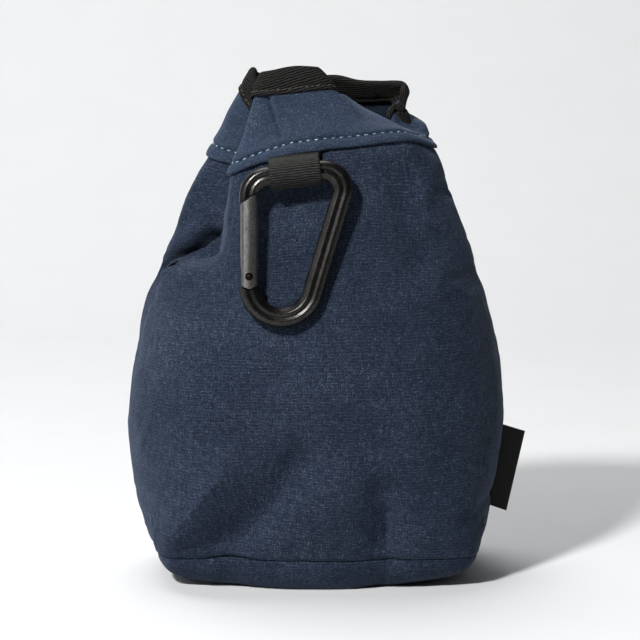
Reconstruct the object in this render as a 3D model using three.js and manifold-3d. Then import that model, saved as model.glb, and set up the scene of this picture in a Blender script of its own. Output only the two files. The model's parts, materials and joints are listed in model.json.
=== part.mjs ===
// A soft cloth pouch for a pocket rangefinder, standing on its own base, with a clip on its front.
// Millimetres, +Z up, front towards -Y. The origin is on the underside of the base, below the bag's middle.
//
// The bag is one soft surface, cut into the pieces that it is sewn from. Two tables give that surface:
// sections, a row for each height, and gussets, how each side is tucked in at that height.
import * as THREE from 'three';
import Module from 'manifold-3d';
import { mergeVertices } from 'three/addons/utils/BufferGeometryUtils.js';

// Sizes of the bag
const bagHalfWidth = 65;
const bagHalfDepth = 42;
const rimHeight = 171;
const wall = 1.6; // of the panels and the base
const collarWall = 1.2;
const sewnGap = 0.3; // between two layers that are sewn together
const edgeGap = 0.6; // past a layer's cut edge
const sideSeamGap = 0.3;

// Sizes of the collar's hem, which laps over the top of the two panels
const hemLap = 2.6;
const hemThickness = 1.9;
const hemBlend = 3.4;

// Sizes of the tape that binds the mouth
const tapeWidth = 7.8;
const tapeThickness = 0.6;

// Sizes of the base panel
const baseInset = 0.9; // how far its side stands behind the panels' lower edge
const patchShareLeft = 0.86; // the flat patch's edge, as a share of the way out to the seam
const patchShareRight = 0.62; // the right side of the base is lifted
const patchMiddleX = -4;
const patchMiddleY = 3;

// Sizes of the side label
const labelWidth = 7.6;
const labelHeight = 28;
const labelThickness = 0.9;
const labelBottom = 22.6;
const labelGap = 0.5;
const labelDrop = 2.6; // of its free edge
const labelSlant = 0.8;

// Sizes of the clip: a frame bent from bar, and a gate that is hinged at its lower end
const clipBarWidth = 6.7;
const clipBarThickness = 5.6;
const noseRadius = 6.5;
const shoulderRadius = 6.4;
const basketRadius = 10.6;
const clipTopLength = 33.3; // from the gate's line to the corner where the top bar meets the spine, along X
const topBarRise = 6.9; // degrees
const spineLean = 16.5; // degrees from upright
const noseBevel = 30; // degrees
const gateDiameter = 5.8;
const gateLength = 29.8;
const gateClearance = 0.45;
const rivetAboveBasket = 2.9;
const rivetRadius = 1.0;
const rivetHoleRadius = 1.3;
const rivetRecess = 0.7;
const tangRadius = 2.3;
const tangThickness = 2.0;
const tangClearance = 0.3;
const clipRestGap = 1.1; // between the panel and the clip's lower end, which leans on it

// Sizes of the webbing loop that holds the clip
const loopWidth = 17;
const loopThickness = 1.1;
const loopClearance = 0.45;
const loopAcross = -8.2; // where the middle of the loop is, along X
const loopAlongBar = 15.2; // and along the top bar, from the gate's line
const clipBelowHem = 6.4; // from the hem's edge down to the top bar's middle, there
const clipOut = 6.4; // from the front panel to the top bar's middle
const loopBelowHem = 1.4;
const loopOffPanel = 0.75;

// Heights are shares of rimHeight, across values of bagHalfWidth, and depths of bagHalfDepth. A middle is how
// far the panel's middle stands out, where front and back are its corners. tilt is how much the section rises
// to the right, in degrees. A sink is how far a place hangs below the section, as a share of rimHeight, and a
// negative one stands above it.
const sections = [
  { name: 'seam', height: 0.0635, tilt: 0, frontLeft: -0.80, frontRight: 0.79, front: -0.76,
    frontMiddle: -0.905, backLeft: -0.78, backRight: 0.77, back: 0.74, backMiddle: 0.88,
    cornerRoundness: 0.75 },
  { name: 'foot', height: 0.158, tilt: 0, frontLeft: -0.80, frontRight: 0.775, front: -0.81,
    frontMiddle: -0.97, backLeft: -0.78, backRight: 0.76, back: 0.79, backMiddle: 0.95,
    cornerRoundness: 0.8 },
  { name: 'belly', height: 0.292, tilt: 0, frontLeft: -0.755, frontRight: 0.74, front: -0.83,
    frontMiddle: -1.0, backLeft: -0.75, backRight: 0.74, back: 0.81, backMiddle: 0.98,
    cornerRoundness: 0.8 },
  { name: 'middle', height: 0.444, tilt: 0, frontLeft: -0.70, frontRight: 0.69, front: -0.785,
    frontMiddle: -0.955, backLeft: -0.70, backRight: 0.69, back: 0.76, backMiddle: 0.92,
    cornerRoundness: 0.8 },
  { name: 'waist', height: 0.561, tilt: 1, frontLeft: -0.625, frontRight: 0.65, front: -0.69,
    frontMiddle: -0.86, backLeft: -0.67, backRight: 0.65, back: 0.67, backMiddle: 0.82,
    cornerRoundness: 0.75 },
  { name: 'fold', height: 0.620, tilt: 1.5, frontLeft: -0.575, frontRight: 0.625, front: -0.645,
    frontMiddle: -0.795, frontMiddleSink: -0.004, backLeft: -0.66, backRight: 0.63, back: 0.62,
    backMiddle: 0.76, cornerRoundness: 0.7 },
  { name: 'tuck', height: 0.667, tilt: 2.5, frontLeft: -0.53, frontRight: 0.60, front: -0.61,
    frontMiddle: -0.745, frontMiddleSink: -0.012, backLeft: -0.645, backRight: 0.61, back: 0.58,
    backMiddle: 0.71, backLeftSink: -0.008, cornerRoundness: 0.7 },
  { name: 'shoulder', height: 0.737, tilt: 4, frontLeft: -0.495, frontRight: 0.555, front: -0.56,
    frontMiddle: -0.67, frontMiddleSink: -0.022, frontRightSink: -0.012, backLeft: -0.60,
    backRight: 0.57, back: 0.50, backMiddle: 0.61, backLeftSink: -0.016, cornerRoundness: 0.65 },
  { name: 'hem', height: 0.847, tilt: 6.2, frontLeft: -0.44, frontRight: 0.42, front: -0.52,
    frontMiddle: -0.585, frontMiddleSink: -0.030, frontRightSink: -0.027, backLeft: -0.535,
    backRight: 0.50, back: 0.38, backMiddle: 0.47, backLeftSink: -0.033, cornerRoundness: 0.55 },
  { name: 'collar', height: 0.918, tilt: 5, frontLeft: -0.355, frontRight: 0.235, front: -0.44,
    frontMiddle: -0.475, frontMiddleSink: -0.016, frontRightSink: 0.009, backLeft: -0.475,
    backRight: 0.485, back: 0.27, backMiddle: 0.33, backLeftSink: -0.02, cornerRoundness: 0.65 },
  { name: 'rim', height: 1.0, tilt: 0, frontLeft: -0.245, frontRight: 0.03, front: -0.36,
    frontMiddle: -0.385, frontMiddleSink: -0.014, frontRightSink: -0.006, backLeft: -0.345,
    backRight: 0.44, back: 0.15, backMiddle: 0.19, backRightSink: 0.014, backLeftSink: -0.014,
    cornerRoundness: 0.7 },
];

// Across values of each side, at its front, its fold line and its back, and their sinks.
const gussets = [
  { name: 'seam', leftFront: -0.885, leftFold: -0.91, leftBack: -0.885, rightFront: 0.85,
    rightFold: 0.855, rightBack: 0.845 },
  { name: 'foot', leftFront: -0.94, leftFold: -0.968, leftBack: -0.935, rightFront: 0.885,
    rightFold: 0.90, rightBack: 0.885 },
  { name: 'belly', leftFront: -0.98, leftFold: -1.015, leftBack: -0.975, rightFront: 0.94,
    rightFold: 0.97, rightBack: 0.95 },
  { name: 'middle', leftFront: -0.955, leftFold: -0.97, leftBack: -0.985, rightFront: 0.92,
    rightFold: 0.945, rightBack: 0.945 },
  { name: 'waist', leftFront: -0.88, leftFold: -0.85, leftBack: -0.94, rightFront: 0.86,
    rightFold: 0.865, rightBack: 0.87 },
  { name: 'fold', leftFront: -0.795, leftFold: -0.70, leftBack: -0.87, rightFront: 0.815,
    rightFold: 0.80, rightBack: 0.82 },
  { name: 'tuck', leftFront: -0.60, leftFold: -0.53, leftBack: -0.825, rightFront: 0.775,
    rightFold: 0.74, rightBack: 0.78 },
  { name: 'shoulder', leftFront: -0.495, leftFold: -0.45, leftBack: -0.745, rightFront: 0.70,
    rightFold: 0.65, rightBack: 0.70, leftBackSink: -0.01 },
  { name: 'hem', leftFront: -0.425, leftFold: -0.385, leftBack: -0.575, rightFront: 0.565,
    rightFold: 0.55, rightBack: 0.57, leftBackSink: -0.027 },
  { name: 'collar', leftFront: -0.35, leftFold: -0.335, leftBack: -0.48, rightFront: 0.39,
    rightFold: 0.475, rightBack: 0.515, leftBackSink: -0.012, rightFrontSink: 0.027,
    rightFoldSink: 0.044, rightBackSink: 0.018 },
  { name: 'rim', leftFront: -0.265, leftFold: -0.305, leftBack: -0.35, rightFront: 0.17,
    rightFold: 0.335, rightBack: 0.43, leftFrontSink: 0.018, leftFoldSink: 0.04, rightFrontSink: 0.05,
    rightFoldSink: 0.062, rightBackSink: 0.036 },
];

// Soft dents and ridges of the front: a line from one place to another, with its reach to each side and its
// depth, as shares of bagHalfDepth. A negative depth is a dent.
const dents = [
  { name: 'diagonal valley', fromAcross: -0.50, fromHeight: 0.08, toAcross: -0.10, toHeight: 0.26,
    reach: 0.21, depth: -0.055 },
  { name: 'corner ridge', fromAcross: -0.80, fromHeight: 0.10, toAcross: -0.50, toHeight: 0.25,
    reach: 0.17, depth: 0.04 },
  { name: 'right valley', fromAcross: 0.34, fromHeight: 0.06, toAcross: 0.33, toHeight: 0.19,
    reach: 0.15, depth: -0.035 },
  { name: 'neck hollow', fromAcross: 0.42, fromHeight: 0.80, toAcross: 0.50, toHeight: 0.66, reach: 0.20,
    depth: -0.04 },
];

// The stations around a section, in order, counter-clockwise from above, with the number of columns up to the
// next. At a corner the curve is tighter, by the section's cornerRoundness, where 1 would be smooth.
const stations = [
  { name: 'frontLeft', corner: true, columns: 5 },
  { name: 'frontThird', columns: 5 },
  { name: 'frontTwoThirds', columns: 5 },
  { name: 'frontRight', corner: true, columns: 5 },
  { name: 'rightFront', columns: 4 },
  { name: 'rightFold', columns: 4 },
  { name: 'rightBack', columns: 4 },
  { name: 'backRight', corner: true, columns: 3 },
  { name: 'backThird', columns: 3 },
  { name: 'backTwoThirds', columns: 3 },
  { name: 'backLeft', corner: true, columns: 3 },
  { name: 'leftBack', columns: 4 },
  { name: 'leftFold', columns: 5 },
  { name: 'leftFront', columns: 5 },
];
const stationCount = stations.length;
const rightFoldStation = stations.findIndex((s) => s.name === 'rightFold');
const leftFoldStation = stations.findIndex((s) => s.name === 'leftFold');
const gussetFrontShare = 0.42; // where a gusset's front and back stations stand, from its fold to its corner
const gussetFoldDepth = -0.02;

const heights = sections.map((row) => row.height);
const hemHeight = sections.find((row) => row.name === 'hem').height;
const seamHeight = sections.find((row) => row.name === 'seam').height;

// Slope of a smooth curve through uneven knots, at knot i.
function slopeAt(knots, values, i) {
  const last = knots.length - 1;
  if (i === 0) return (values[1] - values[0]) / (knots[1] - knots[0]);
  if (i === last) return (values[last] - values[last - 1]) / (knots[last] - knots[last - 1]);
  const before = (values[i] - values[i - 1]) / (knots[i] - knots[i - 1]);
  const after = (values[i + 1] - values[i]) / (knots[i + 1] - knots[i]);
  const share = (knots[i] - knots[i - 1]) / (knots[i + 1] - knots[i - 1]);
  return before * (1 - share) + after * share;
}

function hermite(a, b, slopeA, slopeB, width, f) {
  const f2 = f * f;
  const f3 = f2 * f;
  return a * (2 * f3 - 3 * f2 + 1) + b * (3 * f2 - 2 * f3)
    + width * (slopeA * (f3 - 2 * f2 + f) + slopeB * (f3 - f2));
}

// One column of a table at any height, on a smooth curve through its rows.
function columnAt(table, column, height) {
  const values = table.map((row) => row[column] ?? 0);
  const last = heights.length - 1;
  if (height >= heights[last]) {
    return values[last] + (height - heights[last]) * slopeAt(heights, values, last);
  }
  let i = 0;
  while (i < last - 1 && height > heights[i + 1]) i += 1;
  const width = heights[i + 1] - heights[i];
  const slopes = [slopeAt(heights, values, i), slopeAt(heights, values, i + 1)];
  return hermite(values[i], values[i + 1], ...slopes, width, (height - heights[i]) / width);
}

const stationCache = new Map();

// The stations' points at one height.
function stationPoints(height) {
  if (stationCache.has(height)) return stationCache.get(height);
  const s = (column) => columnAt(sections, column, height);
  const g = (column) => columnAt(gussets, column, height);
  const tilt = Math.tan(THREE.MathUtils.degToRad(s('tilt')));
  const place = (across, depth, sink = 0) => new THREE.Vector3(
    across * bagHalfWidth,
    depth * bagHalfDepth,
    (height - sink) * rimHeight + across * bagHalfWidth * tilt,
  );
  const front = s('front');
  const back = s('back');
  const frontSpan = s('frontRight') - s('frontLeft');
  const backSpan = s('backRight') - s('backLeft');
  const points = [
    place(s('frontLeft'), front, s('frontLeftSink')),
    place(s('frontLeft') + frontSpan / 3, s('frontMiddle'), s('frontMiddleSink')),
    place(s('frontRight') - frontSpan / 3, s('frontMiddle'), s('frontMiddleSink')),
    place(s('frontRight'), front, s('frontRightSink')),
    place(g('rightFront'), front * gussetFrontShare, g('rightFrontSink')),
    place(g('rightFold'), gussetFoldDepth, g('rightFoldSink')),
    place(g('rightBack'), back * gussetFrontShare, g('rightBackSink')),
    place(s('backRight'), back, s('backRightSink')),
    place(s('backRight') - backSpan / 3, s('backMiddle'), s('backRightSink')),
    place(s('backLeft') + backSpan / 3, s('backMiddle'), s('backLeftSink')),
    place(s('backLeft'), back, s('backLeftSink')),
    place(g('leftBack'), back * gussetFrontShare, g('leftBackSink')),
    place(g('leftFold'), gussetFoldDepth, g('leftFoldSink')),
    place(g('leftFront'), front * gussetFrontShare, g('leftFrontSink')),
  ];
  stationCache.set(height, points);
  return points;
}

// The bag's surface before its dents: round is the place around the bag, in stations.
function plainPoint(round, height) {
  const points = stationPoints(height);
  const roundness = columnAt(sections, 'cornerRoundness', Math.min(height, 1));
  const wrapped = ((round % stationCount) + stationCount) % stationCount;
  const i = Math.floor(wrapped);
  const f = wrapped - i;
  const at = (k) => points[(k + 2 * stationCount) % stationCount];
  const span = (k) => Math.sqrt(at(k).distanceTo(at(k + 1)));
  const tangent = (k) => {
    const before = span(k - 1);
    const after = span(k);
    const both = before + after;
    const slope = at(k).clone().sub(at(k - 1)).multiplyScalar(after / (before * both));
    slope.add(at(k + 1).clone().sub(at(k)).multiplyScalar(before / (after * both)));
    const { corner } = stations[(k + stationCount) % stationCount];
    return slope.multiplyScalar(corner ? roundness : 1);
  };
  const a = at(i);
  const b = at(i + 1);
  const slopeA = tangent(i);
  const slopeB = tangent(i + 1);
  const width = span(i);
  return new THREE.Vector3(
    hermite(a.x, b.x, slopeA.x, slopeB.x, width, f),
    hermite(a.y, b.y, slopeA.y, slopeB.y, width, f),
    hermite(a.z, b.z, slopeA.z, slopeB.z, width, f),
  );
}

// Small steps around and up the surface, from which its directions are taken
const roundStep = 0.02;
const heightStep = 0.002;

function normalOf(round, height) {
  const across = plainPoint(round + roundStep, height).sub(plainPoint(round - roundStep, height));
  const low = Math.max(height - heightStep, heights[0]);
  const up = plainPoint(round, height + heightStep).sub(plainPoint(round, low));
  return across.cross(up).normalize();
}

// How far the cloth stands in or out at a place, from the dents' table.
function dentAt(point, normal) {
  let sum = 0;
  for (const dent of dents) {
    const facing = Math.max(-normal.y, 0);
    const from = new THREE.Vector2(dent.fromAcross * bagHalfWidth, dent.fromHeight * rimHeight);
    const to = new THREE.Vector2(dent.toAcross * bagHalfWidth, dent.toHeight * rimHeight);
    const line = to.clone().sub(from);
    const here = new THREE.Vector2(point.x, point.z);
    const along = THREE.MathUtils.clamp(here.clone().sub(from).dot(line) / line.lengthSq(), 0, 1);
    const away = here.distanceTo(from.clone().addScaledVector(line, along)) / (dent.reach * bagHalfDepth);
    sum += dent.depth * bagHalfDepth * Math.exp(-away * away) * facing;
  }
  return sum;
}

// A point of the cloth: out is its distance from the bag's surface. A height given as above is a length above
// the rim, or below it when negative, along the cloth.
function clothPoint(round, { height, above = 0, out }) {
  const from = height ?? 1;
  const rise = plainPoint(round, from + heightStep).sub(plainPoint(round, from - heightStep));
  rise.divideScalar(2 * heightStep);
  const place = above < 0 ? from + above / rise.length() : from;
  const point = plainPoint(round, place);
  const normal = normalOf(round, place);
  const made = point.clone().addScaledVector(normal, out + dentAt(point, normal));
  return above > 0 ? made.addScaledVector(rise.normalize(), above) : made;
}

// The places around the bag at which a piece has its columns, from one place to another.
function roundPlaces(from, to) {
  const places = [];
  for (let i = Math.floor(from); i < to; i += 1) {
    const { columns } = stations[((i % stationCount) + stationCount) % stationCount];
    for (let k = 0; k < columns; k += 1) places.push(i + k / columns);
  }
  return places.filter((p) => p > from + 0.05 && p < to - 0.05);
}

function evenSteps(from, to, count) {
  return Array.from({ length: count + 1 }, (_, i) => from + (to - from) * (i / count));
}

function geometryOf(vertices, triangles) {
  const geometry = new THREE.BufferGeometry();
  const numbers = vertices.flatMap((v) => [v.x, v.y, v.z]);
  geometry.setAttribute('position', new THREE.Float32BufferAttribute(numbers, 3));
  geometry.setIndex(triangles.flat());
  geometry.computeVertexNormals();
  return geometry;
}

// The two triangles of a face with four corners, split from the first corner to the third
function quad(a, b, c, d) {
  return [[a, b, c], [a, c, d]];
}

// A ring of cloth around the bag: profile is a closed outline of { height, above, out } in the cloth's own
// directions. Every face is split from its lower left to its upper right, so that two layers bend in the same
// lines.
function ringOfCloth(profile) {
  const places = roundPlaces(-0.5, stationCount - 0.5);
  const vertices = [];
  const triangles = [];
  places.forEach((round) => profile.forEach((p) => vertices.push(clothPoint(round, p))));
  const n = profile.length;
  const level = (p) => (p.height ?? 1) * rimHeight + (p.above ?? 0);
  places.forEach((_, i) => {
    const next = (i + 1) % places.length;
    for (let j = 0; j < n; j += 1) {
      const k = (j + 1) % n;
      const [a, b, c, d] = [i * n + j, next * n + j, next * n + k, i * n + k];
      triangles.push(...(level(profile[k]) >= level(profile[j]) ? quad(a, b, c, d) : quad(b, c, d, a)));
    }
  });
  return geometryOf(vertices, triangles);
}

// A panel of cloth from one side seam to the other, where it stops half a gap short.
function panelOfCloth(from, to, rows) {
  const edge = (round, height, towards) => {
    const width = plainPoint(round, height).distanceTo(plainPoint(round + 0.1 * towards, height)) / 0.1;
    return round + (towards * sideSeamGap) / 2 / width;
  };
  const places = [from, ...roundPlaces(from, to), to];
  const placeAt = (round, height) => {
    if (round === from) return edge(round, height, 1);
    return round === to ? edge(round, height, -1) : round;
  };
  const n = rows.length;
  const vertices = [];
  const triangles = [];
  const faces = [0, -wall];
  for (const out of faces) {
    for (const round of places) {
      rows.forEach((height) => vertices.push(clothPoint(placeAt(round, height), { height, out })));
    }
  }
  const at = (face, i, j) => (face * places.length + i) * n + j;
  for (let i = 0; i < places.length - 1; i += 1) {
    for (let j = 0; j < n - 1; j += 1) {
      triangles.push(...quad(at(0, i, j), at(0, i + 1, j), at(0, i + 1, j + 1), at(0, i, j + 1)));
      triangles.push(...quad(at(1, i, j), at(1, i, j + 1), at(1, i + 1, j + 1), at(1, i + 1, j)));
    }
    triangles.push(...quad(at(0, i, 0), at(1, i, 0), at(1, i + 1, 0), at(0, i + 1, 0)));
    const top = n - 1;
    triangles.push(...quad(at(0, i, top), at(0, i + 1, top), at(1, i + 1, top), at(1, i, top)));
  }
  const end = places.length - 1;
  for (let j = 0; j < n - 1; j += 1) {
    triangles.push(...quad(at(0, 0, j), at(0, 0, j + 1), at(1, 0, j + 1), at(1, 0, j)));
    triangles.push(...quad(at(0, end, j), at(1, end, j), at(1, end, j + 1), at(0, end, j + 1)));
  }
  return geometryOf(vertices, triangles);
}

const materials = {
  cloth: new THREE.MeshStandardMaterial({ color: '#3b4960', roughness: 0.85, metalness: 0 }),
  tape: new THREE.MeshStandardMaterial({ color: '#1d1c1c', roughness: 0.8, metalness: 0 }),
  metal: new THREE.MeshStandardMaterial({ color: '#4a4845', roughness: 0.4, metalness: 0.9 }),
  webbing: new THREE.MeshStandardMaterial({ color: '#1f1e1e', roughness: 0.75, metalness: 0 }),
};

function named(name, geometry, material) {
  const mesh = new THREE.Mesh(geometry, material);
  mesh.name = name;
  return mesh;
}

const mm = (length) => length / rimHeight; // a length along the bag's height, as a share

// The front and back panels
const hemEdge = hemHeight - mm(hemLap);
const panelRows = [...evenSteps(seamHeight, 0.50, 8), ...evenSteps(0.50, hemEdge, 11).slice(1), hemHeight];
const frontPanel = panelOfCloth(leftFoldStation - stationCount, rightFoldStation, panelRows);
const backPanel = panelOfCloth(rightFoldStation, leftFoldStation, panelRows);

// The collar, with its hem lapped over the panels' top edge. Under the tape its rows are the tape's own.
const underTape = [-tapeWidth, -tapeWidth / 2, 0];
const collarRows = evenSteps(hemHeight + mm(hemBlend), 0.93, 3);
const collarOuter = collarWall / 2;
const hemOuter = sewnGap + hemThickness;
const collarProfile = [
  { height: hemEdge, out: sewnGap },
  { height: hemEdge - mm(hemThickness / 4), out: sewnGap + hemThickness / 2 },
  { height: hemEdge, out: hemOuter },
  { height: hemHeight, out: hemOuter },
  { height: hemHeight + mm(hemBlend / 2), out: THREE.MathUtils.lerp(collarOuter, hemOuter, 0.4) },
  ...collarRows.map((height) => ({ height, out: collarOuter })),
  ...underTape.map((above) => ({ above, out: collarOuter })),
  ...underTape.toReversed().map((above) => ({ above, out: -collarOuter })),
  ...collarRows.toReversed().map((height) => ({ height, out: -collarOuter })),
  { height: hemHeight + mm(edgeGap), out: -collarOuter },
  { height: hemHeight + mm(edgeGap), out: sewnGap },
  { height: hemHeight, out: sewnGap },
];
const collar = ringOfCloth(collarProfile);

// The tape is folded over the collar's raw edge, as far down outside as inside.
const tapeInner = collarOuter + sewnGap;
const tapeOuter = tapeInner + tapeThickness;
const tapeProfile = [
  ...underTape.map((above) => ({ above, out: tapeOuter })),
  { above: edgeGap + tapeThickness, out: tapeInner },
  { above: edgeGap + tapeThickness, out: -tapeInner },
  ...underTape.toReversed().map((above) => ({ above, out: -tapeOuter })),
  ...underTape.map((above) => ({ above: above || edgeGap, out: -tapeInner })),
  ...underTape.toReversed().map((above) => ({ above: above || edgeGap, out: tapeInner })),
];
const mouthTape = ringOfCloth(tapeProfile);

// The base: it curves in from the seam to a flat patch that the bag stands on. q runs from 0 at the seam to 1
// at the patch's edge.
function basePoint(round, q) {
  const seam = clothPoint(round, { height: seamHeight, out: -baseInset });
  seam.z = seamHeight * rimHeight - sewnGap;
  const right = THREE.MathUtils.smoothstep(seam.x / bagHalfWidth, 0.2, 0.8);
  const share = THREE.MathUtils.lerp(patchShareLeft, patchShareRight, right);
  const inward = 1 - Math.cos((q * Math.PI) / 2);
  return new THREE.Vector3(
    THREE.MathUtils.lerp(seam.x, seam.x * share, inward),
    THREE.MathUtils.lerp(seam.y, seam.y * share, inward),
    seam.z * (1 - Math.sin((q * Math.PI) / 2)),
  );
}

function basePanelGeometry() {
  const places = roundPlaces(-0.5, stationCount - 0.5);
  const rings = [0, 0.25, 0.5, 0.75, 1];
  const vertices = [];
  const triangles = [];
  const step = 0.01;
  const inside = (round, q) => {
    const around = basePoint(round + step, q).sub(basePoint(round - step, q));
    const down = basePoint(round, Math.min(q + step, 1)).sub(basePoint(round, Math.max(q - step, 0)));
    const inwards = around.cross(down).normalize();
    if (q === 0) inwards.setZ(0).normalize();
    if (q === 1) inwards.set(0, 0, 1);
    return basePoint(round, q).addScaledVector(inwards, wall);
  };
  rings.forEach((q) => places.forEach((round) => vertices.push(basePoint(round, q))));
  rings.forEach((q) => places.forEach((round) => vertices.push(inside(round, q))));
  const n = places.length;
  const at = (face, ring, i) => (face * rings.length + ring) * n + (i % n);
  const last = rings.length - 1;
  const underside = vertices.push(new THREE.Vector3(patchMiddleX, patchMiddleY, 0)) - 1;
  const floor = vertices.push(new THREE.Vector3(patchMiddleX, patchMiddleY, wall)) - 1;
  for (let i = 0; i < n; i += 1) {
    for (let r = 0; r < last; r += 1) {
      triangles.push(...quad(at(0, r, i), at(0, r + 1, i), at(0, r + 1, i + 1), at(0, r, i + 1)));
      triangles.push(...quad(at(1, r, i), at(1, r, i + 1), at(1, r + 1, i + 1), at(1, r + 1, i)));
    }
    triangles.push(...quad(at(0, 0, i), at(0, 0, i + 1), at(1, 0, i + 1), at(1, 0, i)));
    triangles.push([at(0, last, i), underside, at(0, last, i + 1)]);
    triangles.push([at(1, last, i), at(1, last, i + 1), floor]);
  }
  return geometryOf(vertices, triangles);
}

// Solids for the metal pieces, which are cut from each other
const solids = await Module();
solids.setup();
function solidOf(geometry) {
  const plain = new THREE.BufferGeometry();
  plain.setAttribute('position', geometry.getAttribute('position').clone());
  if (geometry.index) plain.setIndex(geometry.index.clone());
  const merged = mergeVertices(plain, 1e-4);
  return new solids.Manifold(new solids.Mesh({
    numProp: 3,
    vertProperties: new Float32Array(merged.getAttribute('position').array),
    triVerts: new Uint32Array(merged.index.array),
  }));
}
function geometryFrom(solid) {
  const { vertProperties, triVerts, numProp } = solid.getMesh();
  const vertices = [];
  for (let i = 0; i < vertProperties.length; i += numProp) {
    vertices.push(new THREE.Vector3(...vertProperties.slice(i, i + 3)));
  }
  return geometryOf(vertices, [...triVerts]);
}

// The clip is drawn in its own plane: x across, y up, z out of the front. Its origin is where the lines of the
// gate and the top bar meet.
const radians = THREE.MathUtils.degToRad;
const barDirection = new THREE.Vector2(Math.cos(radians(topBarRise)), Math.sin(radians(topBarRise)));
const spineDirection = new THREE.Vector2(-Math.sin(radians(spineLean)), -Math.cos(radians(spineLean)));
const shoulderCorner = barDirection.clone().multiplyScalar(clipTopLength / barDirection.x);
const spineNormal = new THREE.Vector2(spineDirection.y, -spineDirection.x);
const basketCentre = new THREE.Vector2(basketRadius, 0);
const basketReach = basketRadius - spineNormal.x * (basketCentre.x - shoulderCorner.x);
basketCentre.y = basketReach / spineNormal.y + shoulderCorner.y;
const rivetPlace = new THREE.Vector2(0, basketCentre.y + rivetAboveBasket);
const gateBottomRadius = gateDiameter * 0.69;
const gateTop = rivetPlace.y - gateBottomRadius + gateLength;

// A corner of the bar, as points on an arc between two directions
function cornerArc(corner, directionIn, directionOut, radius, steps) {
  const turn = Math.acos(directionIn.dot(directionOut));
  const start = corner.clone().addScaledVector(directionIn, -radius * Math.tan(turn / 2));
  const centre = start.clone().addScaledVector(new THREE.Vector2(directionIn.y, -directionIn.x), radius);
  return evenSteps(0, turn, steps).map((angle) => start.clone().rotateAround(centre, -angle));
}
const up = new THREE.Vector2(0, 1);
const spineEnd = basketCentre.clone().addScaledVector(spineNormal, -basketRadius);
const basketTurn = Math.PI - radians(spineLean);
const clipPath = [
  new THREE.Vector2(0, gateTop - gateDiameter),
  ...cornerArc(new THREE.Vector2(0, 0), up, barDirection, noseRadius, 6),
  ...cornerArc(shoulderCorner, barDirection, spineDirection, shoulderRadius, 8),
  ...evenSteps(0, basketTurn, 11).map((angle) => spineEnd.clone().rotateAround(basketCentre, -angle)),
  new THREE.Vector2(0, rivetPlace.y - gateBottomRadius * 0.3),
];

// The bar's section, as shares of half its width and half its thickness: flat facets, a shallow groove and a
// round outer edge
const barSection = [
  [-1, 0.34], [-0.36, 0.93], [0.02, 0.80], [0.36, 0.97], [0.80, 0.66], [1, 0.22],
  [1, -0.22], [0.80, -0.66], [0.36, -0.97], [0.02, -0.80], [-0.36, -0.93], [-1, -0.34],
];
function barAlong(path, section) {
  const vertices = [];
  const triangles = [];
  path.forEach((point, i) => {
    const before = point.clone().sub(path[Math.max(i - 1, 0)]).normalize();
    const after = path[Math.min(i + 1, path.length - 1)].clone().sub(point).normalize();
    const along = before.clone().add(after).normalize();
    const outward = new THREE.Vector2(-along.y, along.x);
    const mitre = 1 / Math.max(along.dot(before.lengthSq() ? before : after), 0.5);
    section.forEach(([across, out]) => {
      const place = point.clone().addScaledVector(outward, (across * mitre * clipBarWidth) / 2);
      vertices.push(new THREE.Vector3(place.x, place.y, (out * clipBarThickness) / 2));
    });
  });
  const n = section.length;
  for (let i = 0; i < path.length - 1; i += 1) {
    for (let j = 0; j < n; j += 1) {
      const k = (j + 1) % n;
      triangles.push(...quad(i * n + j, (i + 1) * n + j, (i + 1) * n + k, i * n + k));
    }
  }
  const start = vertices.push(new THREE.Vector3(path[0].x, path[0].y, 0)) - 1;
  const finish = vertices.push(new THREE.Vector3(path.at(-1).x, path.at(-1).y, 0)) - 1;
  const lastRing = (path.length - 1) * n;
  for (let j = 0; j < n; j += 1) {
    const k = (j + 1) % n;
    triangles.push([start, j, k], [finish, lastRing + k, lastRing + j]);
  }
  return geometryOf(vertices, triangles);
}

// A round pin across the clip's plane, centred on it
function pinAt(place, radius, length, sides) {
  const pin = new THREE.CylinderGeometry(radius, radius, length, sides).rotateX(Math.PI / 2);
  return solidOf(pin.translate(place.x, place.y, 0));
}
function blockAt(x, y, width, height, thickness) {
  return solidOf(new THREE.BoxGeometry(width, height, thickness).translate(x, y, 0));
}

// All that is above or below the slanted parting line between the nose and the gate, up to the right of it
function abovePartingLine(y, right) {
  return solidOf(partingBlock(right, gateDiameter).rotateZ(radians(noseBevel)).translate(0, y, 0));
}
function belowPartingLine(y, right) {
  return solidOf(partingBlock(right, -gateDiameter).rotateZ(radians(noseBevel)).translate(0, y, 0));
}
function partingBlock(right, middle) {
  const size = 2 * gateDiameter;
  return new THREE.BoxGeometry(2 * size, size, size).translate(right - size, middle, 0);
}

const tangLength = gateBottomRadius + clipBarWidth / 2;
const tang = pinAt(rivetPlace, tangRadius, tangThickness, 20)
  .add(blockAt(0, rivetPlace.y - tangLength / 2, 2 * tangRadius, tangLength, tangThickness));
const clipFrame = solidOf(barAlong(clipPath, barSection))
  .subtract(belowPartingLine(gateTop + gateClearance, clipBarWidth * 0.57))
  .subtract(pinAt(rivetPlace, gateBottomRadius + gateClearance, 2 * clipBarThickness, 28))
  .add(tang)
  .subtract(pinAt(rivetPlace, rivetHoleRadius, 2 * clipBarThickness, 16));

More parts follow.
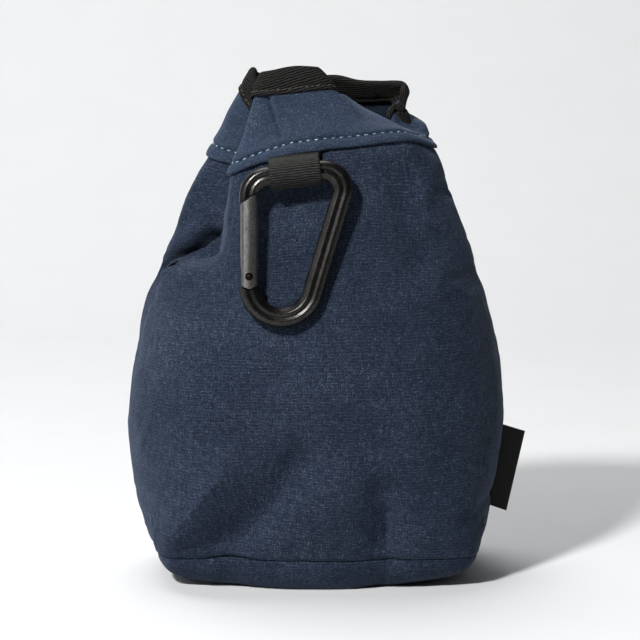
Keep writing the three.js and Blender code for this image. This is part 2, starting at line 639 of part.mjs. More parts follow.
const gateRadius = gateDiameter / 2;
const gateStock = gateLength + gateDiameter;
const gateRod = solidOf(new THREE.CylinderGeometry(gateRadius, gateRadius, gateStock, 24)
  .translate(0, gateStock / 2 + rivetPlace.y - gateBottomRadius, 0));
const forkSlot = tangThickness + 2 * tangClearance;
const forkTop = rivetPlace.y + tangRadius + gateClearance;
const clipGate = gateRod
  .subtract(abovePartingLine(gateTop, gateDiameter * 2))
  .intersect(blockAt(0, rivetPlace.y + gateLength, 2 * gateDiameter, 2 * gateLength, 2 * gateDiameter)
    .add(pinAt(rivetPlace, gateBottomRadius, 2 * gateDiameter, 28)))
  .subtract(blockAt(0, forkTop - gateLength, 2 * gateDiameter, 2 * gateLength, forkSlot))
  .subtract(pinAt(rivetPlace, rivetHoleRadius, 2 * gateDiameter, 16));

const gateRivet = pinAt(rivetPlace, rivetRadius, gateDiameter - 2 * rivetRecess, 16);

// The place on the front panel that lies at x, on the section of one height
function frontPlaceAtHeight(x, height) {
  let round = 1.5;
  for (let i = 0; i < 12; i += 1) {
    const point = plainPoint(round, height);
    round += (0.01 * (x - point.x)) / (plainPoint(round + 0.01, height).x - point.x);
  }
  return { round, height };
}

// The place on the front panel that lies at x and z
function frontPlace(x, z) {
  let place = frontPlaceAtHeight(x, z / rimHeight);
  for (let i = 0; i < 12; i += 1) {
    const rise = z - plainPoint(place.round, place.height).z;
    place = frontPlaceAtHeight(x, place.height + rise / rimHeight);
  }
  return place;
}
function panelPoint(place) {
  return clothPoint(place.round, { height: place.height, out: 0 });
}

// The clip hangs with the middle of its top bar in the loop, below the hem, and its lower end leans back on the
// panel.
const hemAbove = frontPlaceAtHeight(loopAcross, hemEdge);
const hangHeight = panelPoint(hemAbove).z - clipBelowHem;
const hangPoint = panelPoint(frontPlace(loopAcross, hangHeight));
hangPoint.y -= clipOut;
const barMiddle = new THREE.Vector3(barDirection.x, barDirection.y, 0).multiplyScalar(loopAlongBar);
const clipReach = barMiddle.y - basketCentre.y + basketRadius;
const lowEndX = hangPoint.x - barMiddle.x + basketCentre.x;
const lowEnd = panelPoint(frontPlace(lowEndX, hangPoint.z - clipReach));
lowEnd.y -= clipRestGap + clipBarThickness / 2;
const clipLean = Math.atan2(hangPoint.y - lowEnd.y, clipReach);
const clip = new THREE.Group();
clip.name = 'clip';
clip.rotation.x = Math.PI / 2 - clipLean;
clip.position.copy(hangPoint).sub(barMiddle.applyEuler(clip.rotation));

// The loop: a band of webbing round the top bar, whose two ends go up together under the hem. It is drawn
// across the bar, x out of the panel and y up, with the bar's middle at 0, and runs along the bar.
const loop = new THREE.Group();
loop.name = 'loop';
loop.position.copy(hangPoint);
loop.rotation.x = Math.PI / 2 - clipLean;
loop.updateMatrixWorld(true);
const outlineTurn = new THREE.Matrix4().makeRotationZ(radians(topBarRise))
  .multiply(new THREE.Matrix4().makeRotationY(-Math.PI / 2));
const anchorHeight = hemHeight - mm(hemLap + loopBelowHem + loopThickness);
const anchor = clothPoint(hemAbove.round, { height: anchorHeight, out: loopOffPanel + loopThickness });
loop.worldToLocal(anchor).applyMatrix4(outlineTurn.clone().invert());

function circlePoints(centre, radius, count) {
  const start = new THREE.Vector2(centre.x + radius, centre.y);
  return evenSteps(0, 2 * Math.PI, count).slice(1).map((angle) => start.clone().rotateAround(centre, angle));
}

// The outline of a string pulled tight around points
function hullOf(points) {
  const sorted = points.toSorted((a, b) => a.x - b.x || a.y - b.y);
  const half = (list) => {
    const kept = [];
    for (const p of list) {
      const from = (point) => point.clone().sub(kept.at(-2));
      while (kept.length > 1 && from(kept.at(-1)).cross(from(p)) <= 1e-9) kept.pop();
      kept.push(p);
    }
    return kept.slice(0, -1);
  };
  return [...half(sorted), ...half(sorted.toReversed())];
}
const barCentre = new THREE.Vector2(0, 0);
const loopRadiusIn = clipBarWidth / 2 + loopClearance;
const loopOutline = new THREE.Shape(hullOf([
  ...circlePoints(barCentre, loopRadiusIn + loopThickness, 24),
  ...circlePoints(anchor, loopThickness, 12),
]));
loopOutline.holes.push(new THREE.Path(circlePoints(barCentre, loopRadiusIn, 24).toReversed()));
const clipLoop = new THREE.ExtrudeGeometry(loopOutline, { depth: loopWidth, bevelEnabled: false })
  .translate(0, 0, -loopWidth / 2).applyMatrix4(outlineTurn);

// The label: folded cloth that stands out of the right side seam, its free edge a little lower than its sewn one
const labelHeights = evenSteps(mm(labelBottom), mm(labelBottom + labelHeight), 5);
const sewnEdge = labelHeights.map((height) => clothPoint(rightFoldStation, { height, out: labelGap }));
const labelOutline = new THREE.Shape([
  ...sewnEdge.map((p) => new THREE.Vector2(p.x, p.z)),
  new THREE.Vector2(sewnEdge.at(-1).x + labelWidth, sewnEdge.at(-1).z - labelDrop),
  new THREE.Vector2(sewnEdge.at(0).x + labelWidth - labelSlant, sewnEdge.at(0).z - labelDrop),
]);
const label = new THREE.ExtrudeGeometry(labelOutline, { depth: labelThickness, bevelEnabled: false })
  .rotateX(Math.PI / 2).translate(0, sewnEdge[0].y + labelThickness / 2, 0);

const pouch = new THREE.Group();
pouch.add(named('front_panel', frontPanel, materials.cloth));
pouch.add(named('back_panel', backPanel, materials.cloth));
pouch.add(named('collar', collar, materials.cloth));
pouch.add(named('mouth_tape', mouthTape, materials.tape));

clip.add(named('clip_frame', geometryFrom(clipFrame), materials.metal));
clip.add(named('clip_gate', geometryFrom(clipGate), materials.metal));
clip.add(named('gate_rivet', geometryFrom(gateRivet), materials.metal));
pouch.add(clip);
loop.add(named('clip_loop', clipLoop, materials.webbing));
pouch.add(loop);
pouch.add(named('side_label', label, materials.webbing));
pouch.add(named('base_panel', basePanelGeometry(), materials.cloth));

export default pouch;
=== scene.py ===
# Rangefinder pouch on its base, with a clip on its front. Every length below is in millimetres.
import json
import math

import bmesh
import bpy
import numpy as np
from mathutils import Matrix, Vector, noise


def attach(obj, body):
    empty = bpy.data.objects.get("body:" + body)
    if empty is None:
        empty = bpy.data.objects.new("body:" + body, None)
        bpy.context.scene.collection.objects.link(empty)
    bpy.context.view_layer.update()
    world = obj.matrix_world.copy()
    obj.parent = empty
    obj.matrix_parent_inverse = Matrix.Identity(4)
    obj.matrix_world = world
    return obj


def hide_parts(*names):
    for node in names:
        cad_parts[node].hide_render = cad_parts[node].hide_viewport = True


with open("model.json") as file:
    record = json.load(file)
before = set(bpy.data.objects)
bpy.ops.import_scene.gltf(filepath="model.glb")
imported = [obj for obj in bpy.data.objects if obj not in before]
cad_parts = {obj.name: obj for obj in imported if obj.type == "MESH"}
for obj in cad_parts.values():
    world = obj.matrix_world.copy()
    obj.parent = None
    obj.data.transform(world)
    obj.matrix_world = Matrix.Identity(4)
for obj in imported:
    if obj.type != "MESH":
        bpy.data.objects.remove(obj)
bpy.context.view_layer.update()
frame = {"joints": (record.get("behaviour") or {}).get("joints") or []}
mm = 0.001
seeded = np.random.default_rng(7)


# The bag's own form. Each list has one value for each height, from the bottom seam up to the mouth: heights are
# shares of rimHeight, across values of halfWidth, depths of halfDepth, and a sink is how far a place hangs below
# its row, as a share of rimHeight.
bag = {
    "halfWidth": 65,
    "halfDepth": 42,
    "rimHeight": 171,
    "gussetFront": 0.42,
    "gussetFold": -0.02,
    "heights": [0.0635, 0.158, 0.292, 0.444, 0.561, 0.620, 0.667, 0.737, 0.847, 0.918, 1.0],
    "tilt": [0, 0, 0, 0, 1, 1.5, 2.5, 4, 6.2, 5, 0],
    "frontLeft": [-0.80, -0.80, -0.755, -0.70, -0.625, -0.575, -0.53, -0.495, -0.44, -0.355, -0.245],
    "frontRight": [0.79, 0.775, 0.74, 0.69, 0.65, 0.625, 0.60, 0.555, 0.42, 0.235, 0.03],
    "front": [-0.76, -0.81, -0.83, -0.785, -0.69, -0.645, -0.61, -0.56, -0.52, -0.44, -0.36],
    "frontMiddle": [-0.905, -0.97, -1.0, -0.955, -0.86, -0.795, -0.745, -0.67, -0.585, -0.475, -0.385],
    "frontMiddleSink": [0, 0, 0, 0, 0, -0.004, -0.012, -0.022, -0.030, -0.016, -0.014],
    "frontRightSink": [0, 0, 0, 0, 0, 0, 0, -0.012, -0.027, 0.009, -0.006],
    "backLeft": [-0.78, -0.78, -0.75, -0.70, -0.67, -0.66, -0.645, -0.60, -0.535, -0.475, -0.345],
    "backRight": [0.77, 0.76, 0.74, 0.69, 0.65, 0.63, 0.61, 0.57, 0.50, 0.485, 0.44],
    "back": [0.74, 0.79, 0.81, 0.76, 0.67, 0.62, 0.58, 0.50, 0.38, 0.27, 0.15],
    "backMiddle": [0.88, 0.95, 0.98, 0.92, 0.82, 0.76, 0.71, 0.61, 0.47, 0.33, 0.19],
    "backLeftSink": [0, 0, 0, 0, 0, 0, -0.008, -0.016, -0.033, -0.02, -0.014],
    "backRightSink": [0, 0, 0, 0, 0, 0, 0, 0, 0, 0, 0.014],
    "leftFront": [-0.885, -0.94, -0.98, -0.955, -0.88, -0.795, -0.60, -0.495, -0.425, -0.35, -0.265],
    "leftFold": [-0.91, -0.968, -1.015, -0.97, -0.85, -0.70, -0.53, -0.45, -0.385, -0.335, -0.305],
    "leftBack": [-0.885, -0.935, -0.975, -0.985, -0.94, -0.87, -0.825, -0.745, -0.575, -0.48, -0.35],
    "leftFrontSink": [0, 0, 0, 0, 0, 0, 0, 0, 0, 0, 0.018],
    "leftFoldSink": [0, 0, 0, 0, 0, 0, 0, 0, 0, 0, 0.04],
    "leftBackSink": [0, 0, 0, 0, 0, 0, 0, -0.01, -0.027, -0.012, 0],
    "rightFront": [0.85, 0.885, 0.94, 0.92, 0.86, 0.815, 0.775, 0.70, 0.565, 0.39, 0.17],
    "rightFold": [0.855, 0.90, 0.97, 0.945, 0.865, 0.80, 0.74, 0.65, 0.55, 0.475, 0.335],
    "rightBack": [0.845, 0.885, 0.95, 0.945, 0.87, 0.82, 0.78, 0.70, 0.57, 0.515, 0.43],
    "rightFrontSink": [0, 0, 0, 0, 0, 0, 0, 0, 0, 0.027, 0.05],
    "rightFoldSink": [0, 0, 0, 0, 0, 0, 0, 0, 0, 0.044, 0.062],
    "rightBackSink": [0, 0, 0, 0, 0, 0, 0, 0, 0, 0.018, 0.036],
    "cornerRoundness": [0.75, 0.8, 0.8, 0.8, 0.75, 0.7, 0.7, 0.65, 0.55, 0.65, 0.7],
}
stationCount = 14
cornerStations = [0, 3, 7, 10]
rightSeam, leftSeam = 5, 12  # the stations at the two gusset folds, where the panels meet
knots = np.array(bag["heights"])
seamHeight, hemHeight = knots[0], knots[8]
hemEdge = hemHeight - 2.6 / bag["rimHeight"]


def hermite(a, b, slopeA, slopeB, width, f):
    f2, f3 = f * f, f * f * f
    return a * (2 * f3 - 3 * f2 + 1) + b * (3 * f2 - 2 * f3) + width * (slopeA * (f3 - 2 * f2 + f) + slopeB * (f3 - f2))


def column(name, height):
    values = np.array(bag[name], float)
    steps = np.diff(values) / np.diff(knots)
    widths = np.diff(knots)
    share = widths[:-1] / (widths[:-1] + widths[1:])
    slopes = np.concatenate([[steps[0]], steps[:-1] * (1 - share) + steps[1:] * share, [steps[-1]]])
    i = np.clip(np.searchsorted(knots, height, side="left") - 1, 0, len(knots) - 2)
    f = (height - knots[i]) / widths[i]
    inside = hermite(values[i], values[i + 1], slopes[i], slopes[i + 1], widths[i], f)
    return np.where(height > knots[-1], values[-1] + (height - knots[-1]) * slopes[-1], inside)


def stationPoints(height):
    tilt = np.tan(np.radians(column("tilt", height)))

    def place(across, depth, sink=None):
        x = across * bag["halfWidth"]
        drop = 0 if sink is None else column(sink, height)
        return np.stack([x, depth * bag["halfDepth"], (height - drop) * bag["rimHeight"] + x * tilt], -1)

    frontLeft, frontRight = column("frontLeft", height), column("frontRight", height)
    backLeft, backRight = column("backLeft", height), column("backRight", height)
    front, back = column("front", height), column("back", height)
    frontThird, backThird = (frontRight - frontLeft) / 3, (backRight - backLeft) / 3
    fold = np.full_like(front, bag["gussetFold"])
    return np.stack([
        place(frontLeft, front),
        place(frontLeft + frontThird, column("frontMiddle", height), "frontMiddleSink"),
        place(frontRight - frontThird, column("frontMiddle", height), "frontMiddleSink"),
        place(frontRight, front, "frontRightSink"),
        place(column("rightFront", height), front * bag["gussetFront"], "rightFrontSink"),
        place(column("rightFold", height), fold, "rightFoldSink"),
        place(column("rightBack", height), back * bag["gussetFront"], "rightBackSink"),
        place(backRight, back, "backRightSink"),
        place(backRight - backThird, column("backMiddle", height), "backRightSink"),
        place(backLeft + backThird, column("backMiddle", height), "backLeftSink"),
        place(backLeft, back, "backLeftSink"),
        place(column("leftBack", height), back * bag["gussetFront"], "leftBackSink"),
        place(column("leftFold", height), fold, "leftFoldSink"),
        place(column("leftFront", height), front * bag["gussetFront"], "leftFrontSink"),
    ], 1)


# The bag's surface. around counts the stations, counter-clockwise from above, and starts at the front's left corner.
def plainSurface(around, height):
    around, height = np.broadcast_arrays(np.asarray(around, float), np.asarray(height, float))
    shape = around.shape
    around, height = around.ravel(), height.ravel()
    points = stationPoints(height)
    i = np.floor(around).astype(int)
    f = (around - i)[:, None]
    rows = np.arange(len(around))
    before, a, b, after = (points[rows, (i + k) % stationCount] for k in (-1, 0, 1, 2))

    def span(p, q):
        return np.sqrt(np.linalg.norm(q - p, axis=1))[:, None]

    s0, s1, s2 = span(before, a), span(a, b), span(b, after)
    slopeA = (a - before) * s1 / (s0 * (s0 + s1)) + (b - a) * s0 / (s1 * (s0 + s1))
    slopeB = (b - a) * s2 / (s1 * (s1 + s2)) + (after - b) * s1 / (s2 * (s1 + s2))
    roundness = column("cornerRoundness", np.minimum(height, 1))
    slopeA *= np.where(np.isin(i % stationCount, cornerStations), roundness, 1)[:, None]
    slopeB *= np.where(np.isin((i + 1) % stationCount, cornerStations), roundness, 1)[:, None]
    return hermite(a, b, slopeA, slopeB, s1, f).reshape(shape + (3,))


def unit(v):
    return v / np.maximum(np.linalg.norm(v, axis=-1, keepdims=True), 1e-12)


def normals(around, height):
    across = plainSurface(around + 0.02, height) - plainSurface(around - 0.02, height)
    up = plainSurface(around, height + 0.002) - plainSurface(around, np.maximum(height - 0.002, seamHeight))
    return unit(np.cross(across, up))


# Dents and ridges of the front, each along a line from start to end, as (x, z). A soft one is round, a sharp one has
# a crest. A negative depth is a dent.
creases = [
    {"name": "diagonal valley", "start": (-32.5, 13.7), "end": (-6.5, 44.5), "reach": 7.2, "depth": -4.6, "sharp": 0},
    {"name": "corner ridge", "start": (-54, 14), "end": (-30.5, 42.8), "reach": 6.6, "depth": 3.0, "sharp": 0},
    {"name": "right valley", "start": (22.1, 10.3), "end": (21.0, 33), "reach": 6.3, "depth": -3.5, "sharp": 0},
    {"name": "neck hollow", "start": (27.3, 139), "end": (34.5, 112), "reach": 8.4, "depth": -2.7, "sharp": 0},
    {"name": "valley crest", "start": (-30, 12), "end": (-13, 34), "reach": 2.8, "depth": -1.4, "sharp": 1},
    {"name": "right crest", "start": (22.9, 11), "end": (22.4, 27), "reach": 1.7, "depth": -2.2, "sharp": 1},
    {"name": "ridge crest", "start": (-50, 19), "end": (-32, 41), "reach": 2.4, "depth": 1.2, "sharp": 1},
    {"name": "belly ease", "start": (4, 30), "end": (10, 78), "reach": 10, "depth": 0.8, "sharp": 0},
    {"name": "long ease", "start": (-22, 118), "end": (-40, 62), "reach": 8, "depth": 0.7, "sharp": 0},
    {"name": "long hollow", "start": (-6, 92), "end": (-22, 52), "reach": 7, "depth": -0.7, "sharp": 0},
    {"name": "right ease", "start": (41, 40), "end": (47, 86), "reach": 9, "depth": -0.8, "sharp": 0},
    {"name": "corner pucker", "start": (-57.2, 10), "end": (-58.6, 22), "reach": 1.5, "depth": -1.9, "sharp": 1,
     "facing": (-0.75, -0.66)},
    {"name": "corner lip", "start": (-54.6, 10), "end": (-55.4, 21), "reach": 1.6, "depth": 0.9, "sharp": 0,
     "facing": (-0.6, -0.8)},
    {"name": "fold pit", "start": (-37.4, 115.6), "end": (-36.2, 120), "reach": 3.4, "depth": -2.6, "sharp": 0,
     "facing": (-0.7, -0.7)},
    {"name": "gusset dent", "start": (-40, 129), "end": (-55, 112), "reach": 4.6, "depth": -1.1, "sharp": 0,
     "facing": (-0.8, -0.6)},
    {"name": "gusset swell", "start": (-40, 137), "end": (-51, 124), "reach": 4.2, "depth": 0.7, "sharp": 0,
     "facing": (-0.8, -0.6)},
]
# The fold below the left gusset's hollow, from above to below: the cloth under the line rolls out over the cloth above
leftFoldLine = {"line": [(-35.2, 115.5), (-41, 111), (-47.9, 108.3), (-53, 104.2), (-56.4, 99.7), (-58.8, 93.8),
                         (-61.2, 86.9), (-62.6, 78.3)],
                "strength": [1, 1, 0.9, 0.6, 0.35, 0.2, 0.1, 0], "swell": 1.8, "swellReach": 5.0, "dip": 6.0,
                "dipReach": 3.4, "edge": 0.5, "lip": 1.2, "lipAway": 6.0, "lipReach": 2.8, "overlap": 1.3, "way": (-0.55, -0.83, 0), "shadeReach": 2.4}
pressedCrease = {"start": (-16.6, 164.5), "end": (-10.4, 146.5), "reach": 3.0, "step": 1.3, "edge": 0.6}


def lineDistance(points, start, end):
    start, end = np.array(start, float), np.array(end, float)
    flat = points[..., [0, 2]]
    along = np.clip(((flat - start) @ (end - start)) / ((end - start) @ (end - start)), 0, 1)
    return np.linalg.norm(flat - start - along[..., None] * (end - start), axis=-1)


def creaseRelief(points, normal, lines):
    relief = np.zeros(points.shape[:-1])
    for crease in lines:
        away = lineDistance(points, crease["start"], crease["end"]) / crease["reach"]
        shape = np.exp(-away) if crease["sharp"] else np.exp(-away * away)
        relief += crease["depth"] * shape * np.maximum(normal[..., :2] @ np.array(crease.get("facing", (0, -1))), 0)
    return relief


# returns the shifts, in mm, and how strongly painted shade darkens the cloth's colour in the fold's crevice
def foldRelief(points):  # shifts, in mm
    look = leftFoldLine
    line = np.array(look["line"], float)
    flat = points[..., [0, 2]]
    best, side, strength = np.full(flat.shape[:-1], 1e9), np.zeros(flat.shape[:-1]), np.zeros(flat.shape[:-1])
    for k in range(len(line) - 1):
        run = line[k + 1] - line[k]
        along = np.clip(((flat - line[k]) @ run) / (run @ run), 0, 1)
        away = flat - line[k] - along[..., None] * run
        distance = np.linalg.norm(away, axis=-1)
        nearer = distance < best
        best = np.where(nearer, distance, best)
        side = np.where(nearer, np.sign(run[0] * away[..., 1] - run[1] * away[..., 0]), side)
        strength = np.where(nearer, look["strength"][k] * (1 - along) + look["strength"][k + 1] * along, strength)
    signed = best * side
    below = smoothStep(signed, -look["edge"], look["edge"])
    relief = below * look["swell"] * np.exp(-np.maximum(signed, 0) / look["swellReach"])
    above = np.maximum(-signed, 0)
    relief -= (1 - below) * look["dip"] * np.clip(1 - above / look["dipReach"], 0, 1) ** 1.1
    relief += (1 - below) * look["lip"] * np.exp(-((above - look["lipAway"]) / look["lipReach"]) ** 2)
    inFront = smoothStep(-points[..., 1], -15, -10) * smoothStep(-points[..., 0], 30, 36)
    inFront *= 1 - smoothStep(-points[..., 1], 7.5, 11) * (1 - smoothStep(-points[..., 0], 36, 40))  # not on the front's own edge
    lap = below * look["overlap"] * np.exp(-np.maximum(signed, 0) / 2.5)
    shift = relief[..., None] * np.array(look["way"]) + lap[..., None] * np.array((0, 0, 1))
    # painted shade: how much the cloth's colour is darkened in the fold's crevice
    inside = np.exp(-np.where(signed < 0, above / look["shadeReach"], signed / 0.7) ** 2) * strength ** 2 * inFront
    return shift * (strength * inFront)[..., None], inside


def smoothStep(x, low, high):
    f = np.clip((x - low) / (high - low), 0, 1)
    return f * f * (3 - 2 * f)


def waves(points, size, seed, octaves=2):  # smooth uneven values of about -1 to 1
    offset = Vector((seed * 17.3, 0, 0))
    values = [noise.fractal(Vector(p / size) + offset, 1.0, 2.0, octaves) for p in points.reshape(-1, 3)]
    return np.array(values).reshape(points.shape[:-1])


# Places around the bag an even distance apart, in mm, measured at one height.
def evenPlaces(start, end, spacing, height=0.40):
    dense = np.linspace(start, end, 1500)
    line = plainSurface(dense, height)
    length = np.concatenate([[0], np.cumsum(np.linalg.norm(np.diff(line, axis=0), axis=1))])
    return np.interp(np.linspace(0, length[-1], int(length[-1] / spacing) + 1), length, dense)


def smoothLine(points, spacing, closed=False):  # a smooth curve through points, with steps of about that length
    p = np.array(points, float)
    extended = np.vstack([p[-1], p, p[0], p[1]]) if closed else np.vstack([2 * p[0] - p[1], p, 2 * p[-1] - p[-2]])
    made = []
    for k in range(1, len(extended) - 2):
        before, a, b, after = extended[k - 1:k + 3]
        s0, s1, s2 = (max(np.linalg.norm(q - r), 1e-9) ** 0.5 for q, r in ((before, a), (a, b), (b, after)))
        slopeA = (a - before) * s1 / (s0 * (s0 + s1)) + (b - a) * s0 / (s1 * (s0 + s1))
        slopeB = (b - a) * s2 / (s1 * (s1 + s2)) + (after - b) * s1 / (s2 * (s1 + s2))
        count = max(int(np.linalg.norm(b - a) / spacing), 1)
        made += [hermite(a, b, slopeA, slopeB, s1, f) for f in np.arange(count) / count]
    return np.array(made if closed else made + [p[-1]])


# Meshes
def gridFaces(rows, columns, start=0, closed=False, flip=False):
    r, c = np.meshgrid(np.arange(rows - 1), np.arange(columns if closed else columns - 1), indexing="ij")
    nextColumn = (c + 1) % columns
    faces = np.stack([r * columns + c, r * columns + nextColumn, (r + 1) * columns + nextColumn,
                      (r + 1) * columns + c], -1).reshape(-1, 4) + start
    return faces[:, ::-1] if flip else faces


def addValues(piece, name, values):  # for the first points of the piece, the others stay at 0
    layer = piece.data.attributes.new(name, "FLOAT", "POINT")
    full = np.zeros(len(piece.data.vertices), np.float32)
    full[:values.size] = values.ravel()
    layer.data.foreach_set("value", full)


def makePiece(name, points, faces, material, body, clothUv=None, smooth=True):
    mesh = bpy.data.meshes.new(name)
    if isinstance(faces, np.ndarray):
        mesh.vertices.add(len(points))
        mesh.vertices.foreach_set("co", (np.asarray(points, float) * mm).astype(np.float32).ravel())
        mesh.loops.add(faces.size)
        mesh.loops.foreach_set("vertex_index", faces.ravel().astype(np.int32))
        mesh.polygons.add(len(faces))
        mesh.polygons.foreach_set("loop_start", np.arange(0, faces.size, faces.shape[1], dtype=np.int32))
        mesh.update(calc_edges=True)
    else:
        mesh.from_pydata([tuple(np.asarray(p) * mm) for p in points], [], [list(map(int, f)) for f in faces])
    mesh.validate()
    mesh.polygons.foreach_set("use_smooth", np.full(len(mesh.polygons), smooth))
    if clothUv is not None:
        corners = np.zeros(len(mesh.loops), np.int32)
        mesh.loops.foreach_get("vertex_index", corners)
        layer = mesh.uv_layers.new(name="cloth")
        layer.uv.foreach_set("vector", np.asarray(clothUv, np.float32)[corners].ravel())
    mesh.materials.append(material)
    piece = bpy.data.objects.new(name, mesh)
    bpy.context.scene.collection.objects.link(piece)
    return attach(piece, body)


def clothUvOf(grid, middleColumn, closed=False):  # mm along and up the cloth, from the middle column's foot
    steps = np.linalg.norm(np.diff(grid, axis=1), axis=2)
    across = np.concatenate([np.zeros((len(grid), 1)), np.cumsum(steps, axis=1)], axis=1)
    across -= across[:, middleColumn:middleColumn + 1]
    rises = np.linalg.norm(np.diff(grid[:, middleColumn], axis=0), axis=1)
    up = np.concatenate([[0], np.cumsum(rises)])
    return np.stack([across, np.repeat(up[:, None], grid.shape[1], 1)], -1)


def shell(outer, inner, closed=False):  # two grids of one shape, joined along their open edges
    rows, columns = outer.shape[:2]
    count = rows * columns
    points = np.vstack([outer.reshape(-1, 3), inner.reshape(-1, 3)])
    faces = [gridFaces(rows, columns, 0, closed), gridFaces(rows, columns, count, closed, flip=True)]
    c = np.arange(columns if closed else columns - 1)
    following = (c + 1) % columns
    faces.append(np.stack([c, c + count, following + count, following], -1))
    top = (rows - 1) * columns
    faces.append(np.stack([top + c, top + following, top + following + count, top + c + count], -1))
    if not closed:
        r = np.arange(rows - 1)
        left, right = r * columns, r * columns + columns - 1
        faces.append(np.stack([left, left + columns, left + columns + count, left + count], -1))
        faces.append(np.stack([right, right + count, right + columns + count, right + columns], -1))
    return points, np.vstack(faces)


def tube(path, radius, sides, seedPhase=0.0):  # a closed round thread along a path, with tapered ends
    path = np.asarray(path, float)
    along = unit(np.gradient(path, axis=0))
    aside = unit(np.cross(along, np.array([0.13, 0.31, 0.94])))
    upward = np.cross(aside, along)
    angle = np.linspace(0, 2 * math.pi, sides, endpoint=False) + seedPhase
    radius = np.broadcast_to(radius, len(path))[:, None, None]
    ring = np.cos(angle)[None, :, None] * aside[:, None] + np.sin(angle)[None, :, None] * upward[:, None]
    points = (path[:, None] + ring * radius).reshape(-1, 3)
    faces = gridFaces(len(path), sides, 0, closed=True)
    return points, faces


def joinParts(parts):
    points, faces, start = [], [], 0
    for p, f in parts:
        points.append(p)
        faces.append(f + start)
        start += len(p)
    return np.vstack(points), np.vstack(faces)


# Materials
def node(tree, kind, inputs=None, **settings):
    made = tree.nodes.new("ShaderNode" + kind)
    for name, value in settings.items():
        setattr(made, name, value)
    for name, value in (inputs or {}).items():
        socket = made.inputs[name]
        if isinstance(value, bpy.types.NodeSocket):
            tree.links.new(value, socket)
        else:
            socket.default_value = value
    return made


def maths(tree, operation, a, b=0.0, clamp=False):
    return node(tree, "Math", {0: a, 1: b}, operation=operation, use_clamp=clamp).outputs[0]


def stretched(tree, vector, along, up, seed, detail=3.0, roughness=0.6):  # noise with its own scale each way, per mm
    scaled = node(tree, "VectorMath", {0: vector, 1: (along, up, 1.0)}, operation="MULTIPLY").outputs[0]
    moved = node(tree, "VectorMath", {0: scaled, 1: (seed * 3.7, seed * 1.9, seed * 5.3)}, operation="ADD").outputs[0]
    return node(tree, "TexNoise", {"Vector": moved, "Scale": 1.0, "Detail": detail, "Roughness": roughness}).outputs["Fac"]


def ramp(tree, value, stops):
    made = node(tree, "ValToRGB", {"Fac": value})
    elements = made.color_ramp.elements
    while len(elements) < len(stops):
        elements.new(0.5)
    for element, (place, colour) in zip(elements, stops):
        element.position = place
        element.color = (*colour, 1) if len(colour) == 3 else colour
    return made.outputs["Color"]


def newMaterial(name):
    material = bpy.data.materials.new(name)
    material.use_nodes = True
    tree = material.node_tree
    tree.nodes.clear()
    shader = tree.nodes.new("ShaderNodeBsdfPrincipled")
    output = tree.nodes.new("ShaderNodeOutputMaterial")
    tree.links.new(shader.outputs[0], output.inputs[0])
    return material, tree, shader


def addBump(tree, shader, height, distance, strength=1.0, under=None):
    inputs = {"Height": height, "Distance": distance * mm, "Strength": strength}
    if under is not None:
        inputs["Normal"] = under
    bump = node(tree, "Bump", inputs)
    tree.links.new(bump.outputs["Normal"], shader.inputs["Normal"])
    return bump.outputs["Normal"]


wovenCloth = {
    "panel": {"dark": (0.0030, 0.0062, 0.0145), "mid": (0.0103, 0.0168, 0.0325), "light": (0.0265, 0.037, 0.060),
              "fleck": (0.12, 0.145, 0.19), "weft": 0.24, "warp": 0.24, "speck": 0.52, "line": 0.22, "bump": 0.13},
    "collar": {"dark": (0.0085, 0.015, 0.029), "mid": (0.0175, 0.028, 0.050), "light": (0.034, 0.049, 0.079),
               "fleck": (0.10, 0.125, 0.17), "weft": 0.20, "warp": 0.14, "speck": 0.66, "line": 0.10, "bump": 0.08},
    "lineSpacing": 1.05, "roughness": 0.9, "sheen": 0.12, "sheenRoughness": 0.4, "sheenTint": (0.55, 0.70, 1.0),
}


